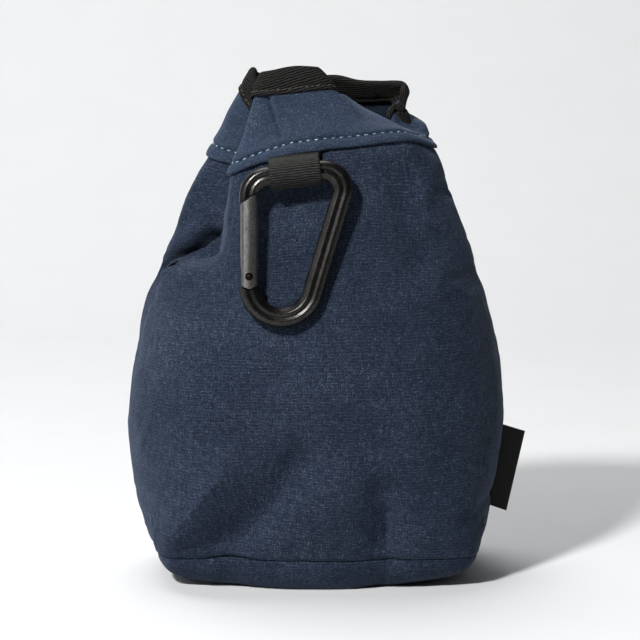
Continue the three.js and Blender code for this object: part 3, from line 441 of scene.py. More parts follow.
def makeWovenCloth(name, look):
    material, tree, shader = newMaterial(name)
    uv = node(tree, "UVMap", uv_map="cloth").outputs["UV"]
    drift = node(tree, "TexNoise", {"Vector": uv, "Scale": 0.05, "Detail": 2.0}).outputs["Color"]
    uv = node(tree, "VectorMath", {0: drift, 1: (1.2, 1.2, 0), 2: uv}, operation="MULTIPLY_ADD").outputs[0]
    weft = stretched(tree, uv, 0.55, 2.6, 1, 3)
    warp = stretched(tree, uv, 2.6, 0.50, 2, 3)
    speck = stretched(tree, uv, 2.1, 2.9, 3, 2, 0.8)
    blotch = stretched(tree, uv, 0.05, 0.07, 5, 2)
    mixed = maths(tree, "MULTIPLY", weft, look["weft"])
    mixed = node(tree, "Math", {0: warp, 1: look["warp"], 2: mixed}, operation="MULTIPLY_ADD").outputs[0]
    mixed = node(tree, "Math", {0: speck, 1: look["speck"], 2: mixed}, operation="MULTIPLY_ADD").outputs[0]
    uneven = node(tree, "MapRange", {"Value": blotch, "From Min": 0.3, "From Max": 0.7, "To Min": -0.02,
                                     "To Max": 0.02}).outputs[0]
    mixed = maths(tree, "ADD", mixed, uneven)
    tone = node(tree, "MapRange", {"Value": mixed, "From Min": 0.36, "From Max": 0.66}).outputs[0]
    colour = ramp(tree, tone, [(0.0, look["dark"]), (0.42, look["mid"]), (0.70, look["light"]), (1.0, look["fleck"])])
    # thin thicker threads, broken here and there
    places = node(tree, "SeparateXYZ", {0: uv}).outputs
    wander = maths(tree, "MULTIPLY", stretched(tree, uv, 0.25, 0.25, 4, 2), 0.5)
    count = maths(tree, "ADD", maths(tree, "MULTIPLY", places[1], 1 / wovenCloth["lineSpacing"]), wander)
    beside = maths(tree, "ABSOLUTE", maths(tree, "SUBTRACT", maths(tree, "FRACT", count), 0.5))
    line = node(tree, "MapRange", {"Value": beside, "From Min": 0.34, "From Max": 0.48}).outputs[0]
    broken = node(tree, "MapRange", {"Value": stretched(tree, uv, 0.5, 0.9, 6, 2), "From Min": 0.44, "From Max": 0.60}).outputs[0]
    bright = maths(tree, "MULTIPLY", maths(tree, "MULTIPLY", line, broken), look["line"])
    colour = node(tree, "Mix", {"Factor": bright, 6: colour, 7: (*look["fleck"], 1)}, data_type="RGBA").outputs[2]
    # painted shade: the cloth's colour is darkened inside the left fold's crevice, where shade falls
    foldPaintedShade = maths(tree, "MULTIPLY", node(tree, "Attribute", attribute_name="foldPaintedShade").outputs["Fac"], 0.85)
    colour = node(tree, "Mix", {"Factor": foldPaintedShade, 6: colour, 7: (*[c * 0.15 for c in look["dark"]], 1)}, data_type="RGBA").outputs[2]
    tree.links.new(colour, shader.inputs["Base Color"])
    threadU = maths(tree, "SINE", maths(tree, "MULTIPLY", places[0], 2 * math.pi / 0.42))
    threadV = maths(tree, "SINE", maths(tree, "MULTIPLY", places[1], 2 * math.pi / 0.38))
    weave = maths(tree, "MULTIPLY", threadU, threadV)
    height = node(tree, "Math", {0: weave, 1: 0.22, 2: tone}, operation="MULTIPLY_ADD").outputs[0]
    height = node(tree, "Math", {0: bright, 1: 0.8, 2: height}, operation="MULTIPLY_ADD").outputs[0]
    addBump(tree, shader, height, look["bump"], 0.9)
    shader.inputs["Roughness"].default_value = wovenCloth["roughness"]
    shader.inputs["Sheen Weight"].default_value = wovenCloth["sheen"]
    shader.inputs["Sheen Roughness"].default_value = wovenCloth["sheenRoughness"]
    shader.inputs["Sheen Tint"].default_value = (*wovenCloth["sheenTint"], 1)
    shader.inputs["Specular IOR Level"].default_value = 0.12
    return material


tapeLook = {"dark": (0.0015, 0.0015, 0.0015), "light": (0.036, 0.034, 0.031), "ridge": 0.85, "slope": 16, "bump": 0.22}


def makeTwillTape():
    material, tree, shader = newMaterial("twillTape")
    uv = node(tree, "UVMap", uv_map="cloth").outputs["UV"]
    u = node(tree, "SeparateXYZ", {0: uv}).outputs
    angle = math.radians(tapeLook["slope"])
    across = maths(tree, "SUBTRACT", maths(tree, "MULTIPLY", u[1], math.cos(angle)),
                   maths(tree, "MULTIPLY", u[0], math.sin(angle)))
    wobble = maths(tree, "MULTIPLY", stretched(tree, uv, 0.4, 0.6, 6, 2), 0.8)
    ridge = maths(tree, "SINE", maths(tree, "MULTIPLY", maths(tree, "ADD", across, wobble),
                                      2 * math.pi / tapeLook["ridge"]))
    thread = stretched(tree, uv, 2.4, 2.4, 7, 3, 0.7)
    height = node(tree, "Math", {0: ridge, 1: 0.32, 2: thread}, operation="MULTIPLY_ADD").outputs[0]
    # the colour follows the height: lighter on the twill ridges and darker between them is painted light and shade, and
    # the thread noise is the yarns' own uneven tone
    tone = node(tree, "MapRange", {"Value": height, "From Min": 0.45, "From Max": 0.95}).outputs[0]
    tree.links.new(ramp(tree, tone, [(0.0, tapeLook["dark"]), (1.0, tapeLook["light"])]), shader.inputs["Base Color"])
    addBump(tree, shader, height, tapeLook["bump"], 0.9)
    shader.inputs["Roughness"].default_value = 0.8
    shader.inputs["Specular IOR Level"].default_value = 0.1
    return material


webbingLook = {"dark": (0.001, 0.001, 0.001), "light": (0.060, 0.058, 0.055)}


def makeWebbing():
    material, tree, shader = newMaterial("blackWebbing")
    uv = node(tree, "UVMap", uv_map="cloth").outputs["UV"]
    thread = stretched(tree, uv, 0.7, 3.2, 8, 3, 0.7)
    fine = stretched(tree, uv, 3.0, 3.0, 9, 2)
    height = maths(tree, "ADD", thread, maths(tree, "MULTIPLY", fine, 0.5))
    tone = node(tree, "MapRange", {"Value": height, "From Min": 0.5, "From Max": 1.0}).outputs[0]
    # painted light and shade: the colour is lighter on the rib tops and near black in the grooves between them
    ribPaintedLightShade = node(tree, "MapRange", {"Value": node(tree, "Attribute", attribute_name="rib").outputs["Fac"], "From Min": 0.62,
                                     "From Max": 1.0, "To Min": 0.12, "To Max": 1.0}).outputs[0]
    tone = maths(tree, "MULTIPLY", tone, ribPaintedLightShade)
    tree.links.new(ramp(tree, tone, [(0.0, webbingLook["dark"]), (1.0, webbingLook["light"])]), shader.inputs["Base Color"])
    addBump(tree, shader, height, 0.10, 0.8)
    shader.inputs["Roughness"].default_value = 0.5
    shader.inputs["Specular IOR Level"].default_value = 0.12
    return material


def makeLabelCloth():
    material, tree, shader = newMaterial("labelCloth")
    uv = node(tree, "UVMap", uv_map="cloth").outputs["UV"]
    weave = stretched(tree, uv, 1.0, 3.6, 10, 3)
    tree.links.new(ramp(tree, weave, [(0.3, (0.003, 0.003, 0.0035)), (0.7, (0.011, 0.011, 0.012))]), shader.inputs["Base Color"])
    addBump(tree, shader, weave, 0.06, 0.7)
    shader.inputs["Roughness"].default_value = 0.7
    shader.inputs["Specular IOR Level"].default_value = 0.25
    return material


metalLook = {"frame": {"base": (0.024, 0.023, 0.022), "worn": (0.10, 0.097, 0.094), "low": 0.25, "high": 0.33},
             # the rivet: near black, painted shade for the recessed hole it sits in
             "rivet": {"base": (0.010, 0.010, 0.010), "worn": (0.03, 0.03, 0.03), "low": 0.35, "high": 0.5},
             "gate": {"base": (0.17, 0.166, 0.16), "worn": (0.55, 0.54, 0.53), "low": 0.27, "high": 0.38}}


def makeDarkMetal(name, look):
    material, tree, shader = newMaterial(name)
    place = node(tree, "TexCoord").outputs["Object"]
    grain = node(tree, "TexNoise", {"Vector": place, "Scale": 2200.0, "Detail": 3.0, "Roughness": 0.6}).outputs["Fac"]
    smudge = node(tree, "TexNoise", {"Vector": place, "Scale": 260.0, "Detail": 4.0, "Roughness": 0.65}).outputs["Fac"]
    wear = node(tree, "MapRange", {"Value": smudge, "From Min": 0.25, "From Max": 0.95}).outputs[0]
    wear = maths(tree, "MULTIPLY", wear, node(tree, "MapRange", {"Value": grain, "From Min": 0.42, "From Max": 0.68}).outputs[0])
    colour = ramp(tree, wear, [(0.0, look["base"]), (1.0, look["worn"])])
    tree.links.new(colour, shader.inputs["Base Color"])
    rough = node(tree, "MapRange", {"Value": smudge, "From Min": 0.3, "From Max": 0.7, "To Min": look["low"],
                                    "To Max": look["high"]}).outputs[0]
    tree.links.new(rough, shader.inputs["Roughness"])
    addBump(tree, shader, grain, 0.03, 0.8)
    shader.inputs["Metallic"].default_value = 0.92
    return material


def makeThread(name, dark, light):
    material, tree, shader = newMaterial(name)
    place = node(tree, "TexCoord").outputs["Object"]
    twist = node(tree, "TexNoise", {"Vector": place, "Scale": 1800.0, "Detail": 2.0}).outputs["Fac"]
    tree.links.new(ramp(tree, twist, [(0.35, dark), (0.65, light)]), shader.inputs["Base Color"])
    addBump(tree, shader, twist, 0.05, 0.8)
    shader.inputs["Roughness"].default_value = 0.6
    shader.inputs["Specular IOR Level"].default_value = 0.3
    return material


panelCloth = makeWovenCloth("panelCloth", wovenCloth["panel"])
collarCloth = makeWovenCloth("collarCloth", wovenCloth["collar"])
twillTape = makeTwillTape()
blackWebbing = makeWebbing()
labelCloth = makeLabelCloth()
frameMetal = makeDarkMetal("frameMetal", metalLook["frame"])
gateMetal = makeDarkMetal("gateMetal", metalLook["gate"])
# near black metal for the rivet, painted shade of its recessed hole
rivetPaintedShadeMetal = makeDarkMetal("rivetPaintedShadeMetal", metalLook["rivet"])
# near black thread for the dark pieces between the hem's stitches: painted shade of the needle holes
stitchHoleShadeThread = makeThread("stitchHoleShadeThread", (0.001, 0.002, 0.005), (0.004, 0.008, 0.016))
hemThread = makeThread("hemThread", (0.07, 0.15, 0.21), (0.34, 0.50, 0.60))
tapeThread = makeThread("tapeThread", (0.010, 0.009, 0.008), (0.085, 0.075, 0.062))
print("materials:", len([m for m in bpy.data.materials if m.use_nodes]))


# The cloth of the body settles a little in a simulation, held along its seams. What it moves is kept as a field of
# shifts, which the finer panels then take on.
settling = {"spacing": 3.6, "frames": 20, "pressure": 1.2, "slack": 0.012, "most": 1.5, "share": 0.85}


def settledShifts():
    arounds = evenPlaces(0, stationCount, settling["spacing"])[:-1]
    heights = np.linspace(seamHeight, hemHeight, 40)
    grid = plainSurface(arounds[None, :], heights[:, None])
    points = grid.reshape(-1, 3)
    mesh = bpy.data.meshes.new("settling")
    mesh.from_pydata([tuple(p * mm * 10) for p in points], [],
                     [tuple(map(int, f)) for f in gridFaces(len(heights), len(arounds), 0, closed=True)])
    piece = bpy.data.objects.new("settling", mesh)
    bpy.context.scene.collection.objects.link(piece)
    held = piece.vertex_groups.new(name="seams")
    seamDistance = np.minimum(np.abs(arounds - rightSeam), np.abs(arounds - leftSeam))
    for row in range(len(heights)):
        for c in range(len(arounds)):
            edge = min(row, len(heights) - 1 - row)
            hold = max(1.0 - edge / 2.5, 0.75 * (seamDistance[c] < 0.12))
            if hold > 0:
                held.add([row * len(arounds) + c], float(min(hold, 1)), "REPLACE")
    cloth = piece.modifiers.new("cloth", "CLOTH")
    cloth.settings.quality = 6
    cloth.settings.mass = 0.12
    cloth.settings.tension_stiffness = 12
    cloth.settings.compression_stiffness = 12
    cloth.settings.shear_stiffness = 4
    cloth.settings.bending_stiffness = 0.9
    cloth.settings.shrink_min = -settling["slack"]
    cloth.settings.use_pressure = True
    cloth.settings.uniform_pressure_force = settling["pressure"]
    cloth.settings.vertex_group_mass = "seams"
    cloth.settings.effector_weights.gravity = 0.1
    cloth.collision_settings.use_collision = False
    cloth.point_cache.frame_start, cloth.point_cache.frame_end = 1, settling["frames"] + 1
    for step in range(1, settling["frames"] + 1):
        bpy.context.scene.frame_set(step)
    depsgraph = bpy.context.evaluated_depsgraph_get()
    moved = np.zeros(len(points) * 3, np.float32)
    piece.evaluated_get(depsgraph).data.vertices.foreach_get("co", moved)
    shifts = moved.reshape(-1, 3) / (mm * 10) - points
    bpy.data.objects.remove(piece)
    bpy.data.meshes.remove(mesh)
    bpy.context.scene.frame_set(1)
    length = np.linalg.norm(shifts, axis=1, keepdims=True)
    print(f"settled cloth: shifts of {length.mean():.2f} mm on average, {length.max():.2f} at most")
    most = settling["most"]
    shifts *= settling["share"] * most * np.tanh(length / most) / np.maximum(length, 1e-9)
    return arounds, heights, shifts.reshape(grid.shape)


shiftArounds, shiftHeights, shiftField = settledShifts()


def settledAt(around, height):
    turned = np.mod(around, stationCount)
    places = np.append(shiftArounds, stationCount)
    field = np.concatenate([shiftField, shiftField[:, :1]], axis=1)
    c = np.clip(np.searchsorted(places, turned, side="right") - 1, 0, len(places) - 2)
    r = np.clip(np.searchsorted(shiftHeights, height, side="right") - 1, 0, len(shiftHeights) - 2)
    fc = smoothStep((turned - places[c]) / (places[c + 1] - places[c]), 0, 1)[..., None]
    fr = smoothStep(np.clip((height - shiftHeights[r]) / (shiftHeights[r + 1] - shiftHeights[r]), 0, 1), 0, 1)[..., None]
    low = field[r, c] * (1 - fc) + field[r, c + 1] * fc
    high = field[r + 1, c] * (1 - fc) + field[r + 1, c + 1] * fc
    return low * (1 - fr) + high * fr


# The cloth beside the left gusset's fold is drawn in at the hem, in mm
def hemPull(around, height):
    turned = np.mod(around, stationCount)
    beside = smoothStep(turned, 10.3, 11.2) * (1 - smoothStep(turned, 12.2, 13.0))
    return 2.0 * beside * np.exp(-(((1 - height) * bag["rimHeight"] - 25) / 8) ** 2)


# The front and back panels
panels = {"spacing": 0.82, "allowance": 2.2, "allowanceDepth": 2.5, "creaseAtSeam": 0.4, "shelf": (0.585, 0.695), "thickness": 1.2, "seamGap": 0.16, "seamRoll": 0.75, "seamRollWidth": 1.5,
          "footRoll": 0.45, "crumple": 0.42, "pucker": 0.45, "puckerReach": 7.0}


def bodyCloth(arounds, heights, start, end):
    around, height = np.broadcast_arrays(arounds[None, :], heights[:, None])
    # the shelf above the left bulge is narrow: the bag's form changes in a shorter rise there
    low, high = panels["shelf"]
    share = np.clip((height - low) / (high - low), 0, 1)
    steep = share ** 3 / (share ** 3 + (1 - share) ** 3)
    turned = np.mod(around, stationCount)
    onShelf = smoothStep(turned, 11.6, 12.3) * (1 - smoothStep(turned, 13.5, 14.0))
    points = plainSurface(around, height)
    shelfPoints = plainSurface(around, np.where((share > 0) & (share < 1), low + (high - low) * steep, height))
    points[..., :2] += (shelfPoints - points)[..., :2] * onShelf[..., None]
    points[..., 0] += hemPull(around, height)
    normal = unit(np.cross(np.gradient(points, axis=1), np.gradient(points, axis=0)))
    above = (height - seamHeight) * bag["rimHeight"]
    relief = creaseRelief(points, normal, creases) * (panels["creaseAtSeam"] + (1 - panels["creaseAtSeam"]) * smoothStep(above, 0, 8))
    fade = smoothStep(above, 0, 9) * smoothStep((hemHeight - height) * bag["rimHeight"], 0, 9)
    relief = relief + panels["crumple"] * waves(points * (1, 1, 0.7), 17, 1) * fade
    relief += 0.13 * waves(points, 6.5, 2) * fade
    # small gathers above the bottom seam, and beside the two side seams
    sideways = np.stack([points[..., 0], points[..., 1], points[..., 2] * 0.12], -1)
    relief += panels["pucker"] * waves(sideways, 5.2, 3) * np.exp(-above / panels["puckerReach"]) * smoothStep(above, -0.5, 1)
    width = np.linalg.norm(np.gradient(points, axis=1), axis=2)
    fromStart = np.cumsum(width, axis=1) - width
    fromEnd = fromStart[:, -1:] - fromStart
    edge = np.minimum(fromStart, fromEnd)
    upright = np.stack([points[..., 0] * 0.2, points[..., 1] * 0.2, points[..., 2]], -1)
    relief += 0.22 * waves(upright, 5.5, 4) * np.exp(-edge / 5)
    relief -= panels["seamRoll"] * np.exp(-(edge / panels["seamRollWidth"]) ** 2)
    relief -= panels["footRoll"] * np.exp(-above / 0.8)
    # the second value is the fold's painted shade, a darkening of the cloth's colour
    folded, inside = foldRelief(points)
    points = points + folded + normal * relief[..., None] + settledAt(around, height) * np.minimum(1, edge / 3)[..., None]
    # the bottom seam is drawn up where the valley meets it
    lift = 1.1 * np.exp(-((points[..., 0] + 29.5) / 6.5) ** 2) * (normal[..., 1] < 0) * np.exp(-above / 6)
    points[..., 2] += lift
    return points, normal, inside


def makePanel(name, node, start, end, spacing):
    width = np.linalg.norm(plainSurface(start, 0.4) - plainSurface(start + 0.05, 0.4)) / 0.05
    gap = panels["seamGap"] / width
    arounds = evenPlaces(start + gap, end - gap, spacing)
    heights = np.linspace(seamHeight, hemHeight - 0.2 / bag["rimHeight"], int(134 / spacing))
    outer, normal, inside = bodyCloth(arounds, heights, start, end)
    inner = outer - normal * panels["thickness"]
    points, faces = shell(outer, inner)
    uv = clothUvOf(outer, len(arounds) // 2).reshape(-1, 2)
    uv = np.vstack([uv, uv])
    if name == "frontPanelCloth":  # its two seam allowances, behind the side seams
        for seam in (start, end):
            beside = seam + np.linspace(-1, 1, 5) * panels["allowance"] / width
            around, height = np.broadcast_arrays(beside[None, :], heights[::3][:, None])
            place, outward = plainSurface(around, height), normals(around, height)
            place[..., 0] += hemPull(around, height)
            strip = shell(place - outward * panels["allowanceDepth"], place - outward * (panels["allowanceDepth"] + 0.7))
            points, faces = joinParts([(points, faces), strip])
            uv = np.vstack([uv, np.tile(place[..., [1, 2]].reshape(-1, 2), (2, 1))])
    piece = makePiece(name, points, faces, panelCloth, "bag", uv)
    # the painted shade in the left fold, by which the cloth's material darkens its colour
    addValues(piece, "foldPaintedShade", inside)
    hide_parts(node)
    return piece


makePanel("frontPanelCloth", "front_panel", leftSeam - stationCount, rightSeam, panels["spacing"])
makePanel("backPanelCloth", "back_panel", rightSeam, leftSeam, panels["spacing"] * 1.5)
print("panels made")


# The base: curves in from the seam to the flat patch that it stands on
base = {"inset": 0.9, "thickness": 1.2, "endNarrowing": 0.42, "tuckUp": 2.2,
        "patch": [(-0.9, 0.70), (-0.6, 0.80), (-0.2, 0.88), (0.2, 0.86), (0.5, 0.76), (0.8, 0.62)], "rows": 30, "crumple": 0.6}


def makeBase():
    arounds = evenPlaces(0, stationCount, 1.1, seamHeight)[:-1]
    seam = plainSurface(arounds, seamHeight)
    normal = normals(arounds, np.full_like(arounds, seamHeight))
    normal = unit(normal * (1, 1, 0))
    seam = seam + normal * (creaseRelief(seam, normal, creases) * panels["creaseAtSeam"] - base["inset"])[:, None]
    seam[:, 2] = seamHeight * bag["rimHeight"] - 0.3
    across = seam[:, 0] / bag["halfWidth"]
    share = np.interp(across, *zip(*base["patch"]))
    patch = seam * share[:, None] * np.stack([np.ones_like(across), 1 - base["endNarrowing"] * across ** 2, np.ones_like(across)], -1)

    def rings(out, floor):
        rows = [seam + normal * (out - 0.85) + (0, 0, base["tuckUp"]), seam + normal * (out - 0.7) + (0, 0, 0.9)]
        for q in np.linspace(0, 1, base["rows"]):
            inward, down = 1 - math.cos(q * math.pi / 2), 1 - math.sin(q * math.pi / 2)
            row = seam * (1 - inward) + patch * inward
            row[:, 2] = floor + (seam[:, 2] - floor) * down
            rows.append(row + normal * out * (1 - q))
        for q in np.linspace(0.94, 0.04, 14):
            row = rows[-1] if q == 0.94 else row
            middle = np.array([-4, 3, floor])
            flat = patch * q + middle * (1 - q)
            flat[:, 2] = floor
            rows.append(flat)
        return np.array(rows)

    outer = rings(0.0, 0.0)
    ripple = waves(outer * (1, 1, 0.4), 11, 5) * base["crumple"] + waves(outer * (1, 1, 0.3), 4.5, 6) * 0.2
    lifted = smoothStep(outer[..., 2], 0.4, 4) * smoothStep(seam[0, 2] - outer[..., 2], 0.2, 2.5)
    outer = outer + normal[None] * (ripple * lifted)[..., None]
    inner = rings(-base["thickness"], base["thickness"])
    points, faces = shell(outer, inner, closed=True)
    steps = np.linalg.norm(np.roll(seam, -1, axis=0) - seam, axis=1)
    along = np.concatenate([[0], np.cumsum(steps)[:-1]])
    depth = np.concatenate([[0], np.cumsum(np.linalg.norm(np.diff(outer.mean(axis=1) * 0 + outer[:, 0], axis=0), axis=1))])
    uv = np.stack(np.broadcast_arrays(along[None, :], -depth[:, None]), -1).reshape(-1, 2)
    piece = makePiece("basePanelCloth", points, faces[:, ::-1], panelCloth, "bag", np.vstack([uv, uv]))
    # the last small ring is filled, outside and inside
    mesh = bmesh.new()
    mesh.from_mesh(piece.data)
    bmesh.ops.holes_fill(mesh, edges=[e for e in mesh.edges if e.is_boundary], sides=0)
    bmesh.ops.recalc_face_normals(mesh, faces=mesh.faces)
    mesh.to_mesh(piece.data)
    mesh.free()
    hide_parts("base_panel")


makeBase()
print("base made")


# How the mouth lies, as (place around, value): the front rim stands up, the rear one hangs behind it on the left, and
# the right gusset's rim is rolled in from its ridge, which lies that far below the rim.
mouth = {
    "lift": [(0, 0.6), (1, 0), (2, 0.3), (2.7, 0.8), (3.2, 0), (6, -0.6), (7, -1.4), (7.6, -1.0), (8.3, 0), (9, -4.8),
             (9.7, -4.3), (10.2, -0.6), (10.6, 0), (13, 0), (13.5, 0.3), (14, 0.6)],
    "aside": [(0, -3.0), (0.6, -1.2), (1.2, 0), (12.8, 0), (13.5, -2.0), (14, -3.0)],
    "pinch": [(0, 0), (4.4, 0), (5.2, -3.5), (6, -6.5), (7, -5.2), (7.8, -1.8), (8.4, 0), (14, 0)],
    "roll": [(0, 0), (2.75, 0), (3.15, 1), (5.3, 1), (6.1, 0), (14, 0)],
    "ridge": [(0, 3), (2.7, 3), (3.0, 5), (3.4, 6), (4, 5.5), (4.6, 8.5), (5, 9.7), (5.5, 8), (6, 4), (14, 4)],
    "rollWidth": 10.5, "easeWidth": 18, "radius": 1.6, "liftReach": 22,
}


def mouthValue(name, around):
    places, values = zip(*mouth[name])
    steps = (-0.16, -0.08, 0, 0.08, 0.16)
    return sum(np.interp(np.mod(around + step, stationCount), places, values) for step in steps) / len(steps)


def mouthSurface(around, height):
    around, height = np.broadcast_arrays(np.asarray(around, float), np.asarray(height, float))
    rim = bag["rimHeight"]
    below = (1 - height) * rim
    roll, ridge = mouthValue("roll", around), mouthValue("ridge", around)
    plain, plainNormal = plainSurface(around, height), normals(around, height)
    width, ease, radius = mouth["rollWidth"], mouth["easeWidth"], mouth["radius"]
    eased = ridge + (np.clip(below, width, ease) - width) * (ease - ridge) / (ease - width)
    placeHeight = np.where(below > ease, height, 1 - eased / rim)
    start, outward = plainSurface(around, placeHeight), normals(around, placeHeight)
    upward = unit(plainSurface(around, placeHeight + 0.002) - plainSurface(around, placeHeight - 0.002))
    turn = np.clip((width - below) / radius, 0, math.pi)[..., None]
    rest = np.maximum(width - below - math.pi * radius, 0)[..., None]
    rolledNormal = outward * np.cos(turn) + upward * np.sin(turn)
    rolled = start + (rolledNormal - outward) * radius - upward * rest
    points = plain + (rolled - plain) * roll[..., None]
    near = 1 - smoothStep(below, 0, mouth["liftReach"])
    points[..., 2] += mouthValue("lift", around) * near
    points[..., 0] += mouthValue("aside", around) * near
    points[..., 0] += mouthValue("pinch", around) * (smoothStep(below, 2, 9) - 1.15 * smoothStep(below, 13.5, 19.5)
                                                    + 0.15 * smoothStep(below, 20, 26))
    return points, unit(plainNormal + (rolledNormal - plainNormal) * roll[..., None])


# The collar and its hem. The profile runs from behind the hem, round its edge and up the outside to the mouth, then
# down the inside, as (height above the hem's edge along the cloth, distance out).
collar = {"spacing": 0.5, "stitchHeight": 3.5, "half": 0.55, "crumple": 0.22, "loopLift": 0.55, "loopDrop": 0.7,
          "pitDepth": 0.30}
hemProfile = [(4.4, 0.34), (2.0, 0.30), (0.4, 0.34), (-0.15, 0.52), (-0.36, 0.88), (-0.22, 1.24), (0.25, 1.46),
              (1.1, 1.50), (2.1, 1.38), (2.8, 1.05), (3.2, 0.66), (3.5, 0.52), (3.8, 0.68), (4.25, 1.05), (5.0, 1.16),
              (6.5, 0.88), (9.0, 0.62), (11.5, 0.55)]
collarTop = 1.0


hemStitches = {"pitch": 2.85, "length": 1.45, "radius": 0.22, "proud": 0.16, "dip": 0.5, "slant": 0.05, "shift": 0.5}
# dark, nearly flush pieces between the hem's stitches: painted shade of the needle holes
hemShadowStitches = {"pitch": 2.85, "length": 1.9, "radius": 0.19, "proud": 0.02, "dip": 0.1, "slant": 0.02, "shift": 0.0}


def risePerHeight(around):
    return np.linalg.norm(plainSurface(around, 1.002) - plainSurface(around, 0.998), axis=-1) / 0.004


def overLoop(points, normal):  # 1 where the hem passes over the webbing
    x = points[..., 0]
    return smoothStep(x, -21, -15) * (1 - smoothStep(x, -1, 4)) * (normal[..., 1] < -0.3)


def collarPoint(around, height, out):
    points = plainSurface(around, height)
    normal = normals(around, height)
    return points + normal * (out + creaseRelief(points, normal, creases))[..., None], normal


def makeCollar():
    arounds = evenPlaces(0, stationCount, collar["spacing"], hemHeight)[:-1]
    profile = smoothLine(hemProfile, 0.30)
    outerRise = np.linspace(profile[-1, 0], (collarTop - hemEdge) * bag["rimHeight"], 42)[1:]
    top = np.stack([outerRise, np.full_like(outerRise, collar["half"])], -1)
    innerRise = np.linspace(outerRise[-1], 5.4, 30)
    back = np.stack([innerRise, np.full_like(innerRise, -collar["half"])], -1)
    step = np.array([(4.6, -collar["half"]), (4.4, 0.0)])
    line = np.vstack([profile, top, back, step])
    around, rise = np.broadcast_arrays(arounds[None, :], line[:, :1])
    out = np.broadcast_to(line[:, 1:], around.shape).copy()
    plain = plainSurface(around, hemEdge + np.zeros_like(around))
    plainNormal = normals(around, hemEdge + np.zeros_like(around))
    over = overLoop(plain, plainNormal)
    nearHem = 1 - smoothStep(rise, 3, 11)
    outside = out > -0.1
    height = hemEdge + (rise - collar["loopDrop"] * over * (1 - smoothStep(rise, 1, 8))) / bag["rimHeight"]
    points, normal = mouthSurface(around, height)
    relief = creaseRelief(points, normal, creases)
    start, end = np.array(pressedCrease["start"]), np.array(pressedCrease["end"])
    aside = points[..., [0, 2]] - start
    along = unit(end - start)
    right = aside @ np.array([-along[1], along[0]])
    beside = smoothStep(aside @ along, -4, 2) * (1 - smoothStep(aside @ along, np.linalg.norm(end - start) - 2, np.linalg.norm(end - start) + 3))
    pressed = pressedCrease["step"] * np.tanh(right / pressedCrease["edge"]) * np.exp(-np.abs(right) / pressedCrease["reach"])
    pressed -= 0.9 * np.exp(-np.abs(right + 0.6) / 0.5)
    pressed *= beside * np.maximum(-normal[..., 1], 0) * smoothStep(rise, 4.5, 7)
    fade = smoothStep(rise, 4, 9) * (1 - 0.7 * smoothStep(height, 0.94, 1.0))
    ripple = collar["crumple"] * waves(points, 13, 8) * fade + 0.05 * waves(points, 4, 9) * fade
    gather = 0.16 * waves(points * (1, 1, 0.15), 3.4, 10) * np.exp(-np.abs(rise - collar["stitchHeight"]) / 1.8)
    edgeWave = 0.3 * waves(points * (1, 1, 0.1), 9, 11) * nearHem
    # needle holes along the stitch line, between the stitches
    row = int(np.argmin(np.abs(profile[:, 0] - collar["stitchHeight"]) + 10 * (profile[:, 1] > 1) + 10 * (profile[:, 1] < 0.4)))
    steps = np.linalg.norm(np.roll(points[row], -1, axis=0) - points[row], axis=1)
    along = np.concatenate([[0], np.cumsum(steps)])
    holes = along[:-1] / along[-1] * int(along[-1] / hemStitches["pitch"])
    pits = np.exp(-((holes - np.round(holes)) / 0.15) ** 2)[None, :] * np.exp(-((rise - collar["stitchHeight"]) / 0.5) ** 2)
    shift = out + relief + pressed + ripple + np.where(outside & (out > 0.5), gather - collar["pitDepth"] * pits, 0)
    shift = shift + collar["loopLift"] * over * nearHem * outside
    points = points + normal * shift[..., None]
    points[..., 2] += edgeWave
    points[..., 0] += hemPull(around, height)
    count, columns = points.shape[:2]
    faces = gridFaces(count, columns, 0, closed=True)
    seamRow = (count - 1) * columns
    c = np.arange(columns)
    following = (c + 1) % columns
    closing = np.stack([seamRow + c, seamRow + following, following, c], -1)
    uv = clothUvOf(points, columns // 6)
    middle = np.argmin(np.abs(arounds - 1.5))
    uv = clothUvOf(points, middle).reshape(-1, 2)
    piece = makePiece("collarCloth", points.reshape(-1, 3), np.vstack([faces, closing]), collarCloth, "bag", uv)
    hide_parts("collar")
    return points[row], normal[row]


stitchLine, stitchNormal = makeCollar()
print("collar made")


# Stitches along a closed line, each one a short length of thread that goes in at both its ends
def makeStitches(name, line, normal, look, thread):
    closedLine = np.vstack([line, line[:1]])
    closedNormal = np.vstack([normal, normal[:1]])
    lengths = np.concatenate([[0], np.cumsum(np.linalg.norm(np.diff(closedLine, axis=0), axis=1))])
    count = int(lengths[-1] / look["pitch"])
    parts = []
    for k in range(count):
        middle = (k + look["shift"]) * lengths[-1] / count + seeded.normal(0, 0.06)
        half = look["length"] / 2 * (1 + seeded.normal(0, 0.07))
        t = np.linspace(-1, 1, 9)
        s = np.mod(middle + t * half, lengths[-1])
        place = np.stack([np.interp(s, lengths, closedLine[:, i]) for i in range(3)], -1)
        out = unit(np.stack([np.interp(s, lengths, closedNormal[:, i]) for i in range(3)], -1))
        bow = look["proud"] - look["dip"] * np.abs(t) ** 2.5
        place = place + out * bow[:, None]
        place[:, 2] += seeded.normal(0, 0.04) + t * look["slant"]
        radius = look["radius"] * (1 - 0.45 * np.abs(t) ** 4)
        parts.append(tube(place, radius, 8))
    points, faces = joinParts(parts)
    piece = makePiece(name, points, faces, thread, "bag")
    mesh = bmesh.new()
    mesh.from_mesh(piece.data)
    bmesh.ops.holes_fill(mesh, edges=[e for e in mesh.edges if e.is_boundary], sides=0)
    bmesh.ops.recalc_face_normals(mesh, faces=mesh.faces)
    mesh.to_mesh(piece.data)
    mesh.free()
    return count


count = makeStitches("hemStitches", stitchLine, stitchNormal, hemStitches, hemThread)
